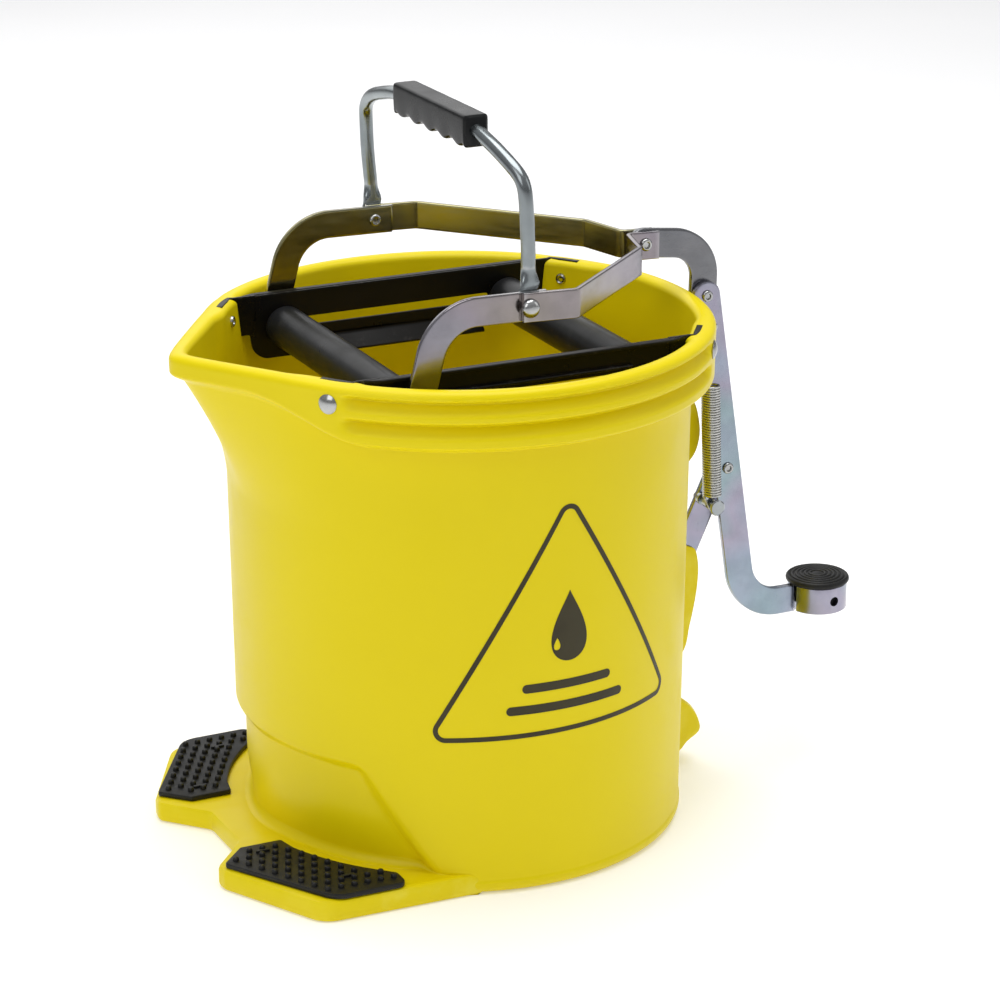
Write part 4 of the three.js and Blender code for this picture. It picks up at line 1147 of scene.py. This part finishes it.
def build_strut():
    down = Vector((-0.416, -0.909))
    top = vec(FULCRUM)
    bar = slab(ribbon([top, top + down * 40, top + down * 80], STRUT_WIDTH, True, False),
               STRUT_Y - 2, STRUT_Y + 2, 0.5, along_y, margin=1.0)
    add_piece("strut_bar", *bar, LEVER_ZINC, "base", "zinc_steel", ["strut"])
    at = {"x": FULCRUM[0], "z": FULCRUM[1]}
    rivet = rivet_form(LEVER_Y - 2.1, 5.1, (hollow, 3.5, 1.7), (dome, 4.2, 1.8))
    add_piece("pivot_rivet", *shifted(rivet, **at), CHROME, "base", "chrome_rivets",
              ["fulcrum_rivet"])
    add_piece("pivot_spacer", *shifted(washer_form(2.6, 6, 2.7), y=LEVER_Y + 2.3, **at), ROD_ZINC,
              "base", "zinc_steel", ["fulcrum_spacer"])
    lower = pin_form(4.9, -19, 5.2, 1.2, ((3.4, -11.6, -6.8), (3.6, -2.0, STRUT_Y - 1.9)))
    add_piece("pin_lower", *shifted(lower, x=SPRING_PIN[0], z=SPRING_PIN[1]), ROD_ZINC, "base",
              "zinc_steel", ["spring_pin"])
    add_piece("pin_upper", *shifted(pin_form(2.9, -16.6, -2.1, 0.9), x=HOOK_PIN[0], z=HOOK_PIN[1]),
              ROD_ZINC, "lever", "zinc_steel", ["hook_pin"])
    screw = lathe([(0, 0), (2, 0), (2, 8.6), (4.5, 8.7), (4.5, 9.5), (4.0, 10.6), (2.6, 11.5),
                   (1.6, 11.6), (1.5, 10.4), (0, 10.4)], 32)
    add_piece("socket_screw", *shifted(screw, x=STRUT_SCREW[0], z=STRUT_SCREW[1]), ROD_ZINC, "base",
              "zinc_steel", ["strut_screw"])


def build_spring():
    """A close-wound tension spring whose end hooks turn round the two pins."""
    wire, radius, hook, turns, steps = 0.72, 5.1, 2.75, 44, 18
    start = Vector((SPRING_PIN[0], SPRING_Y, SPRING_PIN[1]))
    end = Vector((HOOK_PIN[0], SPRING_Y, HOOK_PIN[1]))
    along = (end - start).normalized()
    side = Vector((0, 1, 0))
    third = along.cross(side)
    length = (end - start).length
    low, high = 5.6, length - HOOK_REACH - 4

    def hooked(angle):
        return third * math.cos(angle * DEG) * hook + along * math.sin(angle * DEG) * hook

    path = [start + hooked(a) for a in range(-255, 1, 15)]
    path += [start + third * mix(hook, radius, t) + along * low * t for t in (0.3, 0.6, 0.85)]
    for i in range(turns * steps + 1):
        angle = 2 * math.pi * i / steps
        centre = start + along * mix(low, high, i / (turns * steps))
        path.append(centre + (third * math.cos(angle) + side * math.sin(angle)) * radius)
    path += [end + third * mix(radius, hook, min(1, 2 * t)) - along * (length - high) * (1 - t)
             for t in (0.05, 0.12, 0.3, 0.5, 0.75)]
    path += [end + hooked(a) for a in range(0, 256, 15)]
    spring = add_piece("coil_spring", *tube(path, wire, 8), SPRING_ZINC, None, "zinc_steel",
                       ["return_spring"], sharp=80)
    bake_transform(spring)


# ---------------------------------------------------------------- carrying handle
def catmull(knots, steps):
    """Smooth points through the knots."""
    spots = [knots[0] * 2 - knots[1], *knots, knots[-1] * 2 - knots[-2]]
    path = []
    for a, b, c, d in zip(spots, spots[1:], spots[2:], spots[3:]):
        for i in range(steps):
            t = i / steps
            path.append(0.5 * (2 * b + (c - a) * t + (2 * a - 5 * b + 4 * c - d) * t ** 2
                               + (3 * b - a - 3 * c + d) * t ** 3))
    path.append(knots[-1])
    return path


def handle_path():
    """The round bar from the near leg over the grip to the far leg."""
    near = [(NEAR_LEG, ROD_NEAR_Y, ROD_FOOT + 4), (-2.5, ROD_NEAR_Y, 365), (-3.3, ROD_NEAR_Y, 383),
            (-4, -96.2, 393.5), (-4.6, -95, 399.3), (-5.6, -91.4, 404.1), (-7.4, -84, 408.9),
            (-9.2, -70, 414.6), (-10.1, -58.5, 417.9), (ROD_X, -50, 419.7), (ROD_X, -42, ROD_Z)]
    far = [(ROD_X, 46, ROD_Z), (ROD_X, 53, 419.8), (ROD_X, 65, 418.5), (-9.7, 83.5, 414.4),
           (-9, 96, 410.6), (-8.1, 104.8, 405.9), (-7.3, 110.2, 400), (-6.7, ROD_FAR_Y, 391.5),
           (-6, ROD_FAR_Y, 374), (FAR_LEG, ROD_FAR_Y, ROD_FOOT + 4)]
    return catmull([Vector(knot) for knot in near + [(ROD_X, 0, ROD_Z)] + far], 6)


def flattened_end(leg_x, y_rod, y_low):
    """From the round rod down to the flat eye on the pivot: (centre, half width, half thickness)."""
    rows = []
    wide = 5.6
    for i in range(29):
        z = mix(ROD_FOOT + 4, HANDLE_PIVOT[1] - wide, i / 28)
        flat = smooth(353, 343, z)
        below = HANDLE_PIVOT[1] - z
        half = mix(ROD_RADIUS, wide, smooth(354, 344, z))
        if below > 0:
            half = math.sqrt(max(0.02, wide ** 2 - below ** 2))
        x = mix(leg_x, HANDLE_PIVOT[0], smooth(ROD_FOOT - 4, HANDLE_PIVOT[1], z))
        centre = Vector((x, mix(y_rod, y_low + EYE / 2, flat), z))
        rows.append((centre, half, mix(ROD_RADIUS, EYE / 2, flat)))
    return rows


def loft_x(rows, count=24):
    """Superellipse sections, wide along X and thin along Y, from top to bottom."""
    verts, faces = [], []
    for centre, half, thin in rows:
        power = mix(1.0, 0.45, clamp01((half / thin - 1) / 1.2))
        for k in range(count):
            c, s = math.cos(2 * math.pi * k / count), math.sin(2 * math.pi * k / count)
            x = math.copysign(abs(c) ** 1.0, c) * half
            y = math.copysign(abs(s) ** power, s) * thin
            verts.append((centre.x + x, centre.y + y, centre.z))
    for row in range(len(rows) - 1):
        for k in range(count):
            m = (k + 1) % count
            faces.append((row * count + k, row * count + m, (row + 1) * count + m, (row + 1) * count + k))
    faces.append(tuple(range(count)))
    faces.append(tuple(range((len(rows) - 1) * count, len(rows) * count)))
    return verts, faces


def grip_form():
    """Rounded-square grip with finger bumps on its underside."""
    half, top, bottom, width = 47.7, 428.6, 410.0, 15.2
    verts, faces = [], []
    rows, count = 96, 40
    for i in range(rows + 1):
        y = mix(-half, half, i / rows)
        end = min(1.0, (half - abs(y)) / 1.6)
        shrink = 1.3 * (1 - math.sin(math.acos(1 - end)) if end < 1 else 0)
        wave = 1.25 * (1 - math.cos((y / (2 * half)) * 5 * 2 * math.pi))
        low = bottom + wave * smooth(0, 4, half - abs(y)) + shrink
        high = top - shrink
        for k in range(count):
            turn = 2 * math.pi * k / count
            c, s = math.cos(turn), math.sin(turn)
            squash = 0.24
            x = math.copysign(abs(c) ** squash, c) * (width / 2 - shrink)
            z = math.copysign(abs(s) ** squash, s)
            if z < 0:
                x *= 1 - 0.05 * abs(z)
            verts.append((ROD_X + x, y, mix((low + high) / 2, high if z > 0 else low, abs(z))))
    for row in range(rows):
        for k in range(count):
            m = (k + 1) % count
            faces.append((row * count + k, row * count + m, (row + 1) * count + m, (row + 1) * count + k))
    faces.append(tuple(range(count)))
    faces.append(tuple(range(rows * count, (rows + 1) * count)))
    return verts, faces


def build_handle():
    arm_face, fork_face = ARM_Y - BAR / 2, FORK_Y + BAR / 2
    near = loft_x(flattened_end(NEAR_LEG, ROD_NEAR_Y, -arm_face + 0.3))
    far = loft_x(flattened_end(FAR_LEG, ROD_FAR_Y, fork_face + 0.3))
    rod = joined(tube(handle_path(), ROD_RADIUS, 24), near, far)
    add_piece("handle_bar", *rod, ROD_ZINC, "handle", "zinc_steel", ["handle_rod"])
    add_piece("grip", *grip_form(), GRIP, "handle", "black_rubber", ["handle_grip"])


# ---------------------------------------------------------------- floor, world and lights
def build_stage():
    shader = Shader("studio_floor", Roughness=0.75, Emission_Strength=0.22, Specular_IOR_Level=0.2)
    shader.surface.inputs["Emission Color"].default_value = (1, 1, 1, 1)
    shader.color(shader.ramp(shader.noise(3.0), [(0.3, (0.90, 0.90, 0.90)), (0.7, (0.92, 0.92, 0.92))]))
    mesh = bpy.data.meshes.new("studio_floor")
    reach = 12
    mesh.from_pydata([(-reach, -reach, 0), (reach, -reach, 0), (reach, reach, 0), (-reach, reach, 0)],
                     [], [(0, 1, 2, 3)])
    mesh.materials.append(shader.material)
    floor = bpy.data.objects.new("studio_floor", mesh)
    bpy.context.scene.collection.objects.link(floor)


def build_world():
    """An even white studio with a darker band near the horizon, which gives metal its contrast."""
    world = bpy.data.worlds.new("studio")
    bpy.context.scene.world = world
    world.use_nodes = True
    tree = world.node_tree
    background = tree.nodes["Background"]
    place = tree.nodes.new("ShaderNodeTexCoord")
    split = tree.nodes.new("ShaderNodeSeparateXYZ")
    node = tree.nodes.new("ShaderNodeValToRGB")
    ramp = node.color_ramp
    ramp.elements.new(0.5)
    for element, (position, grey) in zip(ramp.elements, ((0.0, 0.62), (0.22, 0.74), (0.6, 1.0))):
        element.position = position
        element.color = (grey, grey, grey * 1.02, 1)
    tree.links.new(place.outputs["Generated"], split.inputs[0])
    tree.links.new(split.outputs["Z"], node.inputs["Fac"])
    tree.links.new(node.outputs["Color"], background.inputs["Color"])
    background.inputs["Strength"].default_value = 0.44


def area_light(name, place, target, size, power, color=(1, 1, 1)):
    data = bpy.data.lights.new(name, "AREA")
    data.shape = "RECTANGLE"
    data.size, data.size_y = size
    data.energy = power
    data.color = color
    light = bpy.data.objects.new(name, data)
    light.location = place
    aim = Vector(place) - Vector(target)
    light.rotation_euler = aim.to_track_quat("Z", "Y").to_euler()
    bpy.context.scene.collection.objects.link(light)


def build_lights():
    area_light("softbox_key", (-2.0, -1.2, 1.9), (0, 0, 0.2), (1.6, 1.6), 14)
    area_light("softbox_side", (2.2, -1.1, 1.3), (0.05, 0, 0.2), (1.2, 1.6), 6)
    area_light("softbox_top", (0.1, 0.2, 2.4), (0, 0, 0.2), (2.0, 2.0), 44)
    area_light("softbox_back", (0.3, 2.4, 1.4), (0, 0, 0.3), (2.4, 1.2), 9)


bpy.context.scene.view_settings.view_transform = "Standard"
add_camera()
build_stage()
build_world()
build_lights()
build_bucket()
build_mark()
build_plates()
build_axle("front", FRONT_X, 2.3, ARM_Y + 5, ARM_Y + BAR / 2 + 0.3, "carriage", "squeeze_roller")
build_axle("rear", REAR_X, 3.0, PLATE_Y + 5, PLATE_Y + PLATE / 2 + 0.3, "base", "fixed_roller")
build_strap_frame()
build_lever()
build_strut()
build_spring()
build_handle()
